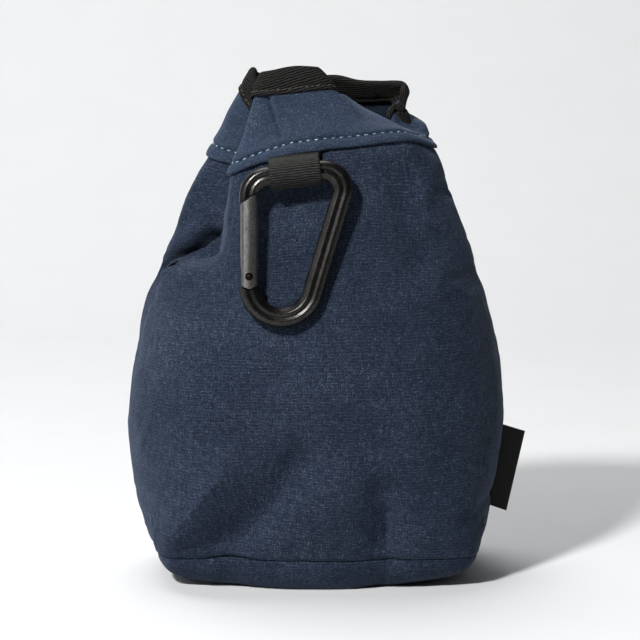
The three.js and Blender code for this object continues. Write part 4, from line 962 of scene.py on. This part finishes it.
# painted shade: dark pieces in the needle holes between the light stitches
makeStitches("hemStitchHoleShade", stitchLine, stitchNormal, hemShadowStitches, stitchHoleShadeThread)
print("hem stitches:", count)


# The tape that binds the mouth. Its profile runs over the edge, from the outside to the inside, as (above the rim
# along the cloth, distance out); the second list is its own inner side.
tape = {"width": 7.8, "spacing": 0.5, "edgeWave": 0.3, "endPlace": 13.30, "endStep": 0.5}
tapeOutside = [(-7.8, 0.72), (-7.75, 1.05), (-7.4, 1.28), (-6.6, 1.22), (-5.9, 1.02), (-5.2, 1.22), (-3.4, 1.38),
               (-1.4, 1.34), (0.2, 1.24), (0.95, 0.90), (1.2, 0.45), (1.25, 0.0)]
tapeInside = [(-7.8, 0.72), (-4.0, 0.76), (0.0, 0.74), (0.35, 0.4), (0.4, 0.0)]


def ringAbove(around, above, out, relief=0.0):
    height = 1 + np.minimum(above, 0) / risePerHeight(around)
    points, normal = mouthSurface(around, height)
    edge = mouthSurface(around, np.ones_like(height))[0]
    direction = unit(edge - mouthSurface(around, np.full_like(height, 0.998))[0])
    points = points + normal * (out + relief)[..., None]
    return points + direction * np.maximum(above, 0)[..., None], normal


def tapeRing(line, arounds, extra=0.0):
    around, above = np.broadcast_arrays(arounds[None, :], line[:, :1])
    out = np.broadcast_to(line[:, 1:], around.shape)
    plain = plainSurface(around, np.ones_like(around))
    wave = waves(plain, 5.5, 12)[..., None][..., 0]
    low = smoothStep(-above, 4.5, 7.8)
    above = above + tape["edgeWave"] * wave * low
    relief = 0.16 * waves(plain + np.stack([above * 0, above * 0, above], -1), 4.0, 13) * np.sign(out)
    # the tape's cut end lies over its start, at the left of the front
    turned = np.mod(around + above * 0.022 - tape["endPlace"], stationCount)
    relief = relief + tape["endStep"] * smoothStep(turned, 0, 0.05) * (1 - smoothStep(turned, 0.7, 1.6)) * (out > 0.5)
    return ringAbove(around, above, out + extra * np.sign(out + 1e-6), relief)


def makeTape():
    arounds = evenPlaces(0, stationCount, tape["spacing"], 1.0)[:-1]
    outside = smoothLine(tapeOutside, 0.30)
    mirrored = outside[::-1] * (1, -1)
    over = np.vstack([outside, mirrored[1:]])
    inside = smoothLine(tapeInside, 0.9)
    under = np.vstack([inside, inside[::-1][1:] * (1, -1)])[::-1]
    line = np.vstack([over, under[1:-1]])
    points, normal = tapeRing(line, arounds)
    count, columns = points.shape[:2]
    faces = gridFaces(count, columns, 0, closed=True)
    c = np.arange(columns)
    following = (c + 1) % columns
    last = (count - 1) * columns
    closing = np.stack([last + c, last + following, following, c], -1)
    edge = np.linalg.norm(np.diff(points[len(over) // 2], axis=0), axis=1)
    along = np.concatenate([[0], np.cumsum(edge)])
    down = np.concatenate([[0], np.cumsum(np.linalg.norm(np.diff(line, axis=0), axis=1))])
    uv = np.stack(np.broadcast_arrays(along[None, :], down[:, None]), -1).reshape(-1, 2)
    piece = makePiece("mouthTape", points.reshape(-1, 3), np.vstack([faces, closing]), twillTape, "bag", uv)
    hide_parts("mouth_tape")
    row = int(np.argmin(np.abs(over[:len(outside), 0] + 6.1)))
    return points[row], normal[row]


tapeLine, tapeNormal = makeTape()
tapeStitches = {"pitch": 1.9, "length": 1.7, "radius": 0.17, "proud": 0.14, "dip": 0.42, "slant": 0.16, "shift": 0.5}
count = makeStitches("tapeStitches", tapeLine, tapeNormal, tapeStitches, tapeThread)
print("mouth tape made, with", count, "stitches")


# The clip is drawn in its own plane: x across, y up and z out of the front, and set on the frame's gate hinge.
clip = {
    "barWidth": 6.7, "barThickness": 5.6, "noseRadius": 6.5, "shoulderRadius": 6.4, "basketRadius": 10.6,
    "topLength": 33.3, "topRise": 6.9, "spineLean": 16.5, "noseBevel": 30, "gateDiameter": 5.8, "gateLength": 29.8,
    "gap": 0.45, "rivetAboveBasket": 2.9, "rivetRadius": 1.0, "holeRadius": 1.3, "rivetRecess": 0.7,
    "tangRadius": 2.3, "tangThickness": 2.0, "forkGap": 0.3, "step": 0.5,
}
# Half of the bar's section, from its inner side to its outer side: a flat facet, a shallow groove and a round edge
barHalf = [(-1, 0.0), (-1, 0.26), (-0.985, 0.36), (-0.94, 0.44), (-0.70, 0.665), (-0.46, 0.885), (-0.40, 0.925),
           (-0.33, 0.93), (-0.24, 0.90), (-0.10, 0.835), (0.03, 0.81), (0.14, 0.845), (0.24, 0.925), (0.34, 0.97),
           (0.45, 0.955), (0.58, 0.88), (0.70, 0.775), (0.81, 0.64), (0.90, 0.48), (0.965, 0.29), (1, 0.10), (1, 0.0)]
joints = {joint["name"]: joint for joint in frame["joints"]}
swing, hinge = joints["clip_swing"], joints["gate_hinge"]
clipOut = -unit(np.array(hinge["axis"], float))
clipUp = np.cross(clipOut, (1.0, 0.0, 0.0))
barAlong = -unit(np.array(swing["axis"], float))


def turned(vector, degrees):
    a = math.radians(degrees)
    return np.array([vector[0] * math.cos(a) - vector[1] * math.sin(a), vector[0] * math.sin(a) + vector[1] * math.cos(a)])


barDirection = turned((1, 0), clip["topRise"])
spineDirection = turned((0, -1), -clip["spineLean"])
shoulderCorner = barDirection * clip["topLength"] / barDirection[0]
spineNormal = np.array([spineDirection[1], -spineDirection[0]])
basketX = clip["basketRadius"]
basketY = (basketX - spineNormal[0] * (basketX - shoulderCorner[0])) / spineNormal[1] + shoulderCorner[1]
rivetY = basketY + clip["rivetAboveBasket"]
gateFoot = clip["gateDiameter"] * 0.69
gateTop = rivetY - gateFoot + clip["gateLength"]
bevelSlope = math.tan(math.radians(clip["noseBevel"]))
rivetPlace = np.array(hinge["pos_m"]) / mm


def onClip(points):  # from the clip's plane to the bag's place
    p = np.asarray(points, float) - (0, rivetY, 0)
    return rivetPlace + p[..., :1] * (1, 0, 0) + p[..., 1:2] * clipUp + p[..., 2:3] * clipOut


def arcFrom(start, direction, radius, turn, step):  # clockwise
    centre = start + np.array([direction[1], -direction[0]]) * radius
    angles = np.linspace(0, turn, max(int(radius * math.radians(turn) / step), 2) + 1)
    return np.array([centre + turned(start - centre, -a) for a in angles])


def straight(a, b, step):
    count = max(int(np.linalg.norm(np.subtract(b, a)) / step), 1)
    return np.linspace(a, b, count + 1)


def cornerArc(corner, directionIn, directionOut, radius):
    turn = math.degrees(math.acos(float(np.dot(directionIn, directionOut))))
    return arcFrom(corner - directionIn * radius * math.tan(math.radians(turn / 2)), directionIn, radius, turn, clip["step"])


def makeClipFrame():
    nose = cornerArc(np.zeros(2), np.array([0.0, 1.0]), barDirection, clip["noseRadius"])
    shoulder = cornerArc(shoulderCorner, barDirection, spineDirection, clip["shoulderRadius"])
    spineEnd = np.array([basketX, basketY]) - spineNormal * clip["basketRadius"]
    basket = arcFrom(spineEnd, spineDirection, clip["basketRadius"], 180 - clip["spineLean"], clip["step"])
    low = straight((0, gateTop - clip["gateDiameter"]), nose[0], clip["step"])[:-1]
    path = np.vstack([low, nose, straight(nose[-1], shoulder[0], 1.0)[1:], shoulder[1:],
                      straight(shoulder[-1], basket[0], 1.0)[1:], basket[1:],
                      straight(basket[-1], (0, rivetY - 1), clip["step"])[1:]])
    along = unit(np.gradient(path, axis=0))
    outward = np.stack([-along[:, 1], along[:, 0]], -1)
    half = np.array(barHalf)
    section = np.vstack([half, half[::-1][1:-1] * (1, -1)])
    flat = path[:, None] + outward[:, None] * section[None, :, :1] * clip["barWidth"] / 2
    depth = np.broadcast_to(section[None, :, 1:] * clip["barThickness"] / 2, flat.shape[:2] + (1,))
    rings = np.concatenate([flat, depth], -1)
    steps = np.arange(len(path))[:, None]
    x, y = rings[..., 0], rings[..., 1]
    noseLine = gateTop + clip["gap"] + x * bevelSlope
    atNose = steps < len(low) + len(nose)
    rings[..., 1] = np.where(atNose, np.maximum(y, noseLine), y)
    reach = gateFoot + clip["gap"]
    footLine = rivetY - np.sqrt(np.maximum(reach ** 2 - x ** 2, 0.1))
    atFoot = (steps > len(path) - 22) & (np.abs(x) < reach)
    rings[..., 1] = np.where(atFoot, np.minimum(rings[..., 1], footLine), rings[..., 1])
    count = len(section)
    faces = [gridFaces(len(path), count, 0, closed=True)]
    last = (len(path) - 1) * count
    top = np.arange(1, len(half) - 2)
    under = count - top
    faces.append(np.stack([top, top + 1, under - 1, under], -1))
    faces.append(np.stack([last + top, last + under, last + under - 1, last + top + 1], -1))
    quads = [tuple(f) for f in np.vstack(faces)]
    ends = [(0, 1, count - 1), (len(half) - 1, len(half), len(half) - 2)]
    quads += [e for e in ends] + [tuple(last + i for i in e[::-1]) for e in ends]
    tangLine = [(clip["tangRadius"] * math.cos(a), rivetY + clip["tangRadius"] * math.sin(a))
                for a in np.linspace(0, math.pi, 21)]
    tangFoot = rivetY - gateFoot - clip["barWidth"] / 2
    tangLine = [(clip["tangRadius"], tangFoot)] + tangLine + [(-clip["tangRadius"], tangFoot)]
    start = rings.shape[0] * rings.shape[1]
    bevel = 0.2
    layers = [(0.0, bevel - clip["tangThickness"] / 2), (bevel, -clip["tangThickness"] / 2)]
    layers = [(bevel, -clip["tangThickness"] / 2), (0.0, bevel - clip["tangThickness"] / 2),
              (0.0, clip["tangThickness"] / 2 - bevel), (bevel, clip["tangThickness"] / 2)]
    tangPoints = []
    for shrink, z in layers:
        scale = 1 - shrink / clip["tangRadius"]
        tangPoints += [(px * scale, rivetY + (py - rivetY) * scale, z) for px, py in tangLine]
    n = len(tangLine)
    tangFaces = [tuple(f) for f in gridFaces(len(layers), n, start, closed=True)]
    tangFaces += [tuple(start + i for i in range(n))[::-1], tuple(start + 3 * n + i for i in range(n))]
    points = onClip(np.vstack([rings.reshape(-1, 3), tangPoints]))
    piece = makePiece("clipFrameBar", points, quads + tangFaces, frameMetal, "clip")
    tidyNormals(piece, 32)
    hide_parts("clip_frame")


def tidyNormals(piece, angle):
    mesh = bmesh.new()
    mesh.from_mesh(piece.data)
    bmesh.ops.remove_doubles(mesh, verts=mesh.verts, dist=0.00001)
    bmesh.ops.dissolve_degenerate(mesh, edges=mesh.edges, dist=0.00001)
    bmesh.ops.recalc_face_normals(mesh, faces=mesh.faces)
    mesh.to_mesh(piece.data)
    mesh.free()
    piece.data.polygons.foreach_set("use_smooth", np.ones(len(piece.data.polygons), bool))
    piece.data.set_sharp_from_angle(angle=math.radians(angle))


def cutAway(piece, points, faces):
    mesh = bpy.data.meshes.new("cutter")
    mesh.from_pydata([tuple(p * mm) for p in points], [], [tuple(map(int, f)) for f in faces])
    cutter = bpy.data.objects.new("cutter", mesh)
    bpy.context.scene.collection.objects.link(cutter)
    cut = piece.modifiers.new("cut", "BOOLEAN")
    cut.operation, cut.solver, cut.object = "DIFFERENCE", "EXACT", cutter
    depsgraph = bpy.context.evaluated_depsgraph_get()
    made = bpy.data.meshes.new_from_object(piece.evaluated_get(depsgraph))
    piece.modifiers.clear()
    piece.data = made
    bpy.data.objects.remove(cutter)
    bpy.data.meshes.remove(mesh)


def pinPoints(y, radius, half, sides=48):
    angles = np.linspace(0, 2 * math.pi, sides, endpoint=False)
    ends = [[(radius * math.cos(a), y + radius * math.sin(a), z) for a in angles] for z in (-half, half)]
    faces = [tuple(f) for f in gridFaces(2, sides, 0, closed=True)]
    return onClip(np.array(ends).reshape(-1, 3)), faces + [tuple(range(sides))[::-1], tuple(range(sides, 2 * sides))]


def makeClipGate():
    radius, bevel, sides = clip["gateDiameter"] / 2, 0.28, 96
    angles = np.linspace(0, 2 * math.pi, sides, endpoint=False)
    shares = np.array([0.0, 0.35, 0.7, 1.0])
    rows = []
    for k in range(34):
        f = k / 33
        x, z = radius * np.cos(angles), radius * np.sin(angles)
        low = rivetY - np.sqrt(gateFoot ** 2 - x ** 2)
        high = gateTop + x * bevelSlope
        inset = 1.0
        rows.append(np.stack([x, low + bevel + (high - low - 2 * bevel) * f, z], -1))
    def capRow(edge, share, lift):
        shrunk = edge.copy()
        shrunk[:, 0] *= share
        shrunk[:, 2] *= share
        x = shrunk[:, 0]
        top = lift > 0
        shrunk[:, 1] = gateTop + x * bevelSlope if top else rivetY - np.sqrt(gateFoot ** 2 - x ** 2)
        return shrunk
    rounding = [(1 - 0.03, 0.6), (1 - 0.10, 1.0)]
    bottom = [capRow(rows[0], s, -1) for s in (0.05, 0.5, 0.9)]
    top = [capRow(rows[0], s, 1) for s in (0.9, 0.5, 0.05)]
    rings = np.array(bottom + rows + top)
    faces = [tuple(f) for f in gridFaces(len(rings), sides, 0, closed=True)]
    faces += [tuple(range(sides))[::-1], tuple((len(rings) - 1) * sides + i for i in range(sides))]
    piece = makePiece("clipGateRod", onClip(rings.reshape(-1, 3)), faces, gateMetal, "gate")
    tidyNormals(piece, 32)
    slotHalf = clip["tangThickness"] / 2 + clip["forkGap"]
    slotTop = rivetY + clip["tangRadius"] + clip["gap"]
    corners = np.array([(x, y, z) for x in (-5, 5) for y in (rivetY - 8, slotTop) for z in (-slotHalf, slotHalf)])
    boxFaces = [(0, 1, 3, 2), (4, 6, 7, 5), (0, 4, 5, 1), (2, 3, 7, 6), (0, 2, 6, 4), (1, 5, 7, 3)]
    cutAway(piece, onClip(corners), boxFaces)
    cutAway(piece, *pinPoints(rivetY, clip["holeRadius"], 6))
    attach(piece, "gate")
    tidyNormals(piece, 34)
    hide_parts("clip_gate")


def makeRivet():
    half = clip["gateDiameter"] / 2 - clip["rivetRecess"]
    profile = [(0.0, -half), (0.55, -half + 0.03), (0.88, -half + 0.14), (1.0, -half + 0.34), (1.0, half - 0.34),
               (0.88, half - 0.14), (0.55, half - 0.03), (0.0, half)]
    sides = 40
    angles = np.linspace(0, 2 * math.pi, sides, endpoint=False)
    rings = [[(r * clip["rivetRadius"] * math.cos(a), rivetY + r * clip["rivetRadius"] * math.sin(a), z) for a in angles]
             for r, z in profile]
    piece = makePiece("gateRivetPin", onClip(np.array(rings).reshape(-1, 3)), gridFaces(len(profile), sides, 0, True),
                      rivetPaintedShadeMetal, "clip")
    tidyNormals(piece, 40)
    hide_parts("gate_rivet")


makeClipFrame()
makeClipGate()
makeRivet()
print("clip made")


# The webbing loop goes round the clip's top bar, and its tail goes up under the hem
webbing = {"width": 17.0, "thickness": 1.0, "gap": 0.5, "rib": 0.75, "ribDepth": 0.26, "below": 2.5, "offPanel": 1.85,
           "tailUp": 1.9, "tailThickness": 0.7, "tailOut": 0.75}


def hullOf(points):
    ordered = sorted(map(tuple, points))

    def half(line):
        kept = []
        for p in line:
            while len(kept) > 1 and ((kept[-1][0] - kept[-2][0]) * (p[1] - kept[-2][1])
                                     - (kept[-1][1] - kept[-2][1]) * (p[0] - kept[-2][0])) <= 1e-12:
                kept.pop()
            kept.append(p)
        return kept[:-1]

    return np.array(half(ordered) + half(ordered[::-1]))


def circle(x, y, radius, count):
    return [(x + radius * math.cos(a), y + radius * math.sin(a)) for a in np.linspace(0, 2 * math.pi, count, endpoint=False)]


def frontAround(x, height):
    around = 1.5
    for _ in range(12):
        here = plainSurface(around, height)[0]
        around += 0.01 * (x - here) / (plainSurface(around + 0.01, height)[0] - here)
    return around


def makeLoop():
    middle = np.array(swing["pos_m"]) / mm
    loopUp = np.cross(clipOut, barAlong)
    around = frontAround(middle[0], hemEdge)
    anchorHeight = hemEdge - webbing["below"] / bag["rimHeight"]
    anchor, _ = collarPoint(around, anchorHeight, webbing["offPanel"])
    offset = anchor - middle
    anchorPlace = (float(offset @ clipOut), float(offset @ loopUp))
    radius = clip["barWidth"] / 2 + webbing["gap"] + webbing["thickness"] / 2
    outline = hullOf(circle(0, 0, radius, 90) + circle(*anchorPlace, 0.6, 40))
    closedLine = np.vstack([outline, outline[:1]])
    lengths = np.concatenate([[0], np.cumsum(np.linalg.norm(np.diff(closedLine, axis=0), axis=1))])
    ribs = round(lengths[-1] / webbing["rib"])
    count = ribs * 6
    s = np.arange(count) * lengths[-1] / count
    line = np.stack([np.interp(s, lengths, closedLine[:, i]) for i in range(2)], -1)
    for _ in range(3):
        line = (np.roll(line, 1, axis=0) + 2 * line + np.roll(line, -1, axis=0)) / 4
    along = unit(np.roll(line, -1, axis=0) - np.roll(line, 1, axis=0))
    outward = np.stack([along[:, 1], -along[:, 0]], -1)
    across = np.linspace(-0.5, 0.5, 35) * webbing["width"]
    ribTopsForPaintedLight = []

    def layer(side):
        grid = np.zeros((len(across), count, 3))
        for j, w in enumerate(across):
            edge = abs(w) / (webbing["width"] / 2)
            half = webbing["thickness"] / 2 * (1 - 0.35 * smoothStep(edge, 0.93, 1.0))
            wobble = 0.26 * np.array([noise.noise(Vector((w * 0.42, k * 0.05, side))) for k in range(count)])
            wave = np.abs(np.sin(math.pi * (s + wobble) / lengths[-1] * ribs))
            if side > 0:
                ribTopsForPaintedLight.append(wave)
            push = side * (half + (webbing["ribDepth"] * (wave - 0.5) if side > 0 else 0))
            lineHere = line + outward * np.reshape(push, (-1, 1))
            sway = 0.10 * math.sin(w * 0.9) + 0.08 * math.sin(w * 2.3 + 1)
            grid[j] = middle + lineHere[:, :1] * clipOut + lineHere[:, 1:] * loopUp + barAlong * w
            grid[j] += loopUp * sway * 0.3 * (line[:, 1:] > anchorPlace[1] * 0.5)
        return grid

    outer, inner = layer(1), layer(-1)
    points, faces = shell(outer, inner, closed=True)
    uv = np.stack(np.broadcast_arrays(across[:, None], s[None, :]), -1).reshape(-1, 2)
    # the tail, under the hem
    tailAcross = np.linspace(-0.5, 0.5, 20) * (webbing["width"] + 0.2)
    rises = np.linspace(-0.4, webbing["below"] + webbing["tailUp"], 16)
    tail = np.zeros((2, len(rises), len(tailAcross), 3))
    for c, w in enumerate(tailAcross):
        edgeAround = frontAround(middle[0] + w * barAlong[0], hemEdge)
        base2 = anchor + barAlong * w
        over, normal = collarPoint(edgeAround, hemEdge + webbing["tailUp"] / bag["rimHeight"], webbing["tailOut"])
        for r, rise in enumerate(rises):
            f = smoothStep(rise, -0.4, webbing["below"] + webbing["tailUp"])
            place = base2 * (1 - f) + over * f
            for side in (0, 1):
                tail[side, r, c] = place + normal * (0.5 - side) * webbing["tailThickness"]
    tailPoints, tailFaces = shell(tail[0], tail[1])
    tailUv = np.stack(np.broadcast_arrays(tailAcross[None, :], rises[:, None]), -1).reshape(-1, 2)
    allPoints, allFaces = joinParts([(points, faces), (tailPoints, tailFaces)])
    piece = makePiece("clipLoopWebbing", allPoints, allFaces, blackWebbing, "bag", np.vstack([uv, uv, tailUv, tailUv]))
    # the rib tops, which lighten the webbing's colour as painted light and shade
    addValues(piece, "rib", np.array(ribTopsForPaintedLight))
    mesh = bmesh.new()
    mesh.from_mesh(piece.data)
    bmesh.ops.recalc_face_normals(mesh, faces=mesh.faces)
    mesh.to_mesh(piece.data)
    mesh.free()
    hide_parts("clip_loop")


makeLoop()
print("webbing loop made")


# The side label: folded cloth without any print, sewn into the right side seam
label = {"bottom": 22.6, "height": 28.0, "width": 7.6, "thickness": 0.8, "out": 0.2, "drop": 2.6, "slant": 0.8, "curl": 0.9}


def makeLabel():
    rows, steps = 40, 18
    heights = np.linspace(label["bottom"], label["bottom"] + label["height"], rows) / bag["rimHeight"]
    root = plainSurface(rightSeam, heights) + normals(np.full_like(heights, rightSeam), heights) * label["out"]
    grid = []
    half = label["thickness"] / 2
    for r in range(rows):
        up = r / (rows - 1)
        free = np.array([root[r if r in (0, rows - 1) else r, 0], root[r, 1], root[r, 2]])
        reach = label["width"] + 0.3 - label["slant"] * (1 - up)
        straightX = root[0, 0] + (root[-1, 0] - root[0, 0]) * up + reach
        line = []
        for side in (-1, 1):
            ts = np.linspace(0, 1, steps) if side < 0 else np.linspace(1, 0, steps)
            for t in ts:
                swell = half * (1 - 0.18 * t) * (1 if t < 0.985 else 0.45)
                x = root[r, 0] + (straightX - root[r, 0]) * min(t, 0.995)
                y = root[r, 1] + side * swell + label["curl"] * t * t * (0.6 + 0.4 * up)
                line.append((x, y, root[r, 2] - label["drop"] * t))
        grid.append(line)
    grid = np.array(grid)
    columns = grid.shape[1]
    faces = [tuple(f) for f in gridFaces(rows, columns, 0, closed=True)]
    faces += [tuple(range(columns))[::-1], tuple((rows - 1) * columns + i for i in range(columns))]
    t = np.concatenate([np.linspace(0, 1, steps), np.linspace(1, 2, steps)]) * label["width"]
    uv = np.stack(np.broadcast_arrays(t[None, :], (np.arange(rows) / rows * label["height"])[:, None]), -1).reshape(-1, 2)
    piece = makePiece("sideLabelCloth", grid.reshape(-1, 3), faces, labelCloth, "bag", uv)
    tidyNormals(piece, 60)
    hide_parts("side_label")


makeLabel()
print("label made")


# The room: a pale floor that runs up into the back, a small key light from the upper left, a large one above aimed at
# the backdrop and a soft one from the left
room = {"floor": (0.64, 0.645, 0.65), "half": 8.0, "back": 0.55, "curve": 0.6, "greyFrom": -0.16, "greyTo": -0.5, "world": (0.95, 0.97, 1.0),
        "worldPower": 0.045, "keyPlace": (-0.62, -0.95, 1.04), "keySize": 0.17, "keyPower": 30,
        "topPlace": (-0.3, 0.6, 1.9), "topSize": 1.4, "topPower": 24.5,
        "leftPlace": (-1.7, -0.75, 0.8), "leftSize": 1.4, "leftPower": 6.5}


def makeRoom():
    material, tree, shader = newMaterial("paleFloor")
    place = node(tree, "TexCoord").outputs["Object"]
    dust = node(tree, "TexNoise", {"Vector": place, "Scale": 30.0, "Detail": 3.0}).outputs["Fac"]
    shade = [c * 0.985 for c in room["floor"]]
    pale = ramp(tree, dust, [(0.3, shade), (0.7, room["floor"])])
    # the floor is greyer in front of the picture, so that less light comes back up to the bag
    front = node(tree, "MapRange", {"Value": node(tree, "SeparateXYZ", {0: place}).outputs[1], "From Min": room["greyTo"],
                                    "From Max": room["greyFrom"], "To Min": 0.7, "To Max": 0.0}).outputs[0]
    grey = (*[c * 0.3 for c in room["floor"]], 1)
    colour = node(tree, "Mix", {"Factor": front, 6: pale, 7: grey}, data_type="RGBA").outputs[2]
    tree.links.new(colour, shader.inputs["Base Color"])
    shader.inputs["Roughness"].default_value = 0.7
    shader.inputs["Specular IOR Level"].default_value = 0.2
    line = [(-room["half"], 0.0), (room["back"], 0.0)]
    line += [(room["back"] + room["curve"] * math.sin(a), room["curve"] * (1 - math.cos(a)))
             for a in np.linspace(0, math.pi / 2, 24)[1:]]
    line.append((room["back"] + room["curve"], 3.5))
    points = np.array([[(x, y, z) for x in np.linspace(-room["half"], room["half"], 9)] for y, z in line]) / mm
    mesh = bpy.data.meshes.new("floor")
    mesh.from_pydata([tuple(p * mm) for p in points.reshape(-1, 3)], [],
                     [tuple(map(int, f)) for f in gridFaces(len(line), 9)])
    mesh.polygons.foreach_set("use_smooth", np.ones(len(mesh.polygons), bool))
    mesh.materials.append(material)
    floor = bpy.data.objects.new("floor", mesh)
    bpy.context.scene.collection.objects.link(floor)


def addLight(name, place, size, power, aim=(0, 0, 0.08)):
    data = bpy.data.lights.new(name, "AREA")
    data.shape, data.size, data.energy = "DISK", size, power
    lamp = bpy.data.objects.new(name, data)
    lamp.location = place
    lamp.rotation_euler = (Vector(aim) - Vector(place)).to_track_quat("-Z", "Y").to_euler()
    bpy.context.scene.collection.objects.link(lamp)
    return lamp


makeRoom()
addLight("key", room["keyPlace"], room["keySize"], room["keyPower"])
addLight("top", room["topPlace"], room["topSize"], room["topPower"], (0, 0.75, 0))
addLight("left", room["leftPlace"], room["leftSize"], room["leftPower"])
world = bpy.data.worlds.new("room")
bpy.context.scene.world = world
world.use_nodes = True
world.node_tree.nodes["Background"].inputs[0].default_value = (*room["world"], 1)
world.node_tree.nodes["Background"].inputs[1].default_value = room["worldPower"]
bpy.context.scene.view_settings.view_transform = "Standard"

# The camera stands as in the photograph: straight in front, a little above
view = {"elevation": 8.0, "distance": 0.9, "aim": (0, 0, 0.0869), "lens": 146.74}
camera = bpy.data.objects.new("camera", bpy.data.cameras.new("camera"))
bpy.context.scene.collection.objects.link(camera)
rise = math.radians(view["elevation"])
camera.location = Vector(view["aim"]) + Vector((0, -math.cos(rise), math.sin(rise))) * view["distance"]
camera.rotation_euler = (Vector(view["aim"]) - camera.location).to_track_quat("-Z", "Y").to_euler()
camera.data.lens, camera.data.sensor_width = view["lens"], 36
camera.data.clip_end = 50
bpy.context.scene.camera = camera
print("room, lights and camera set")
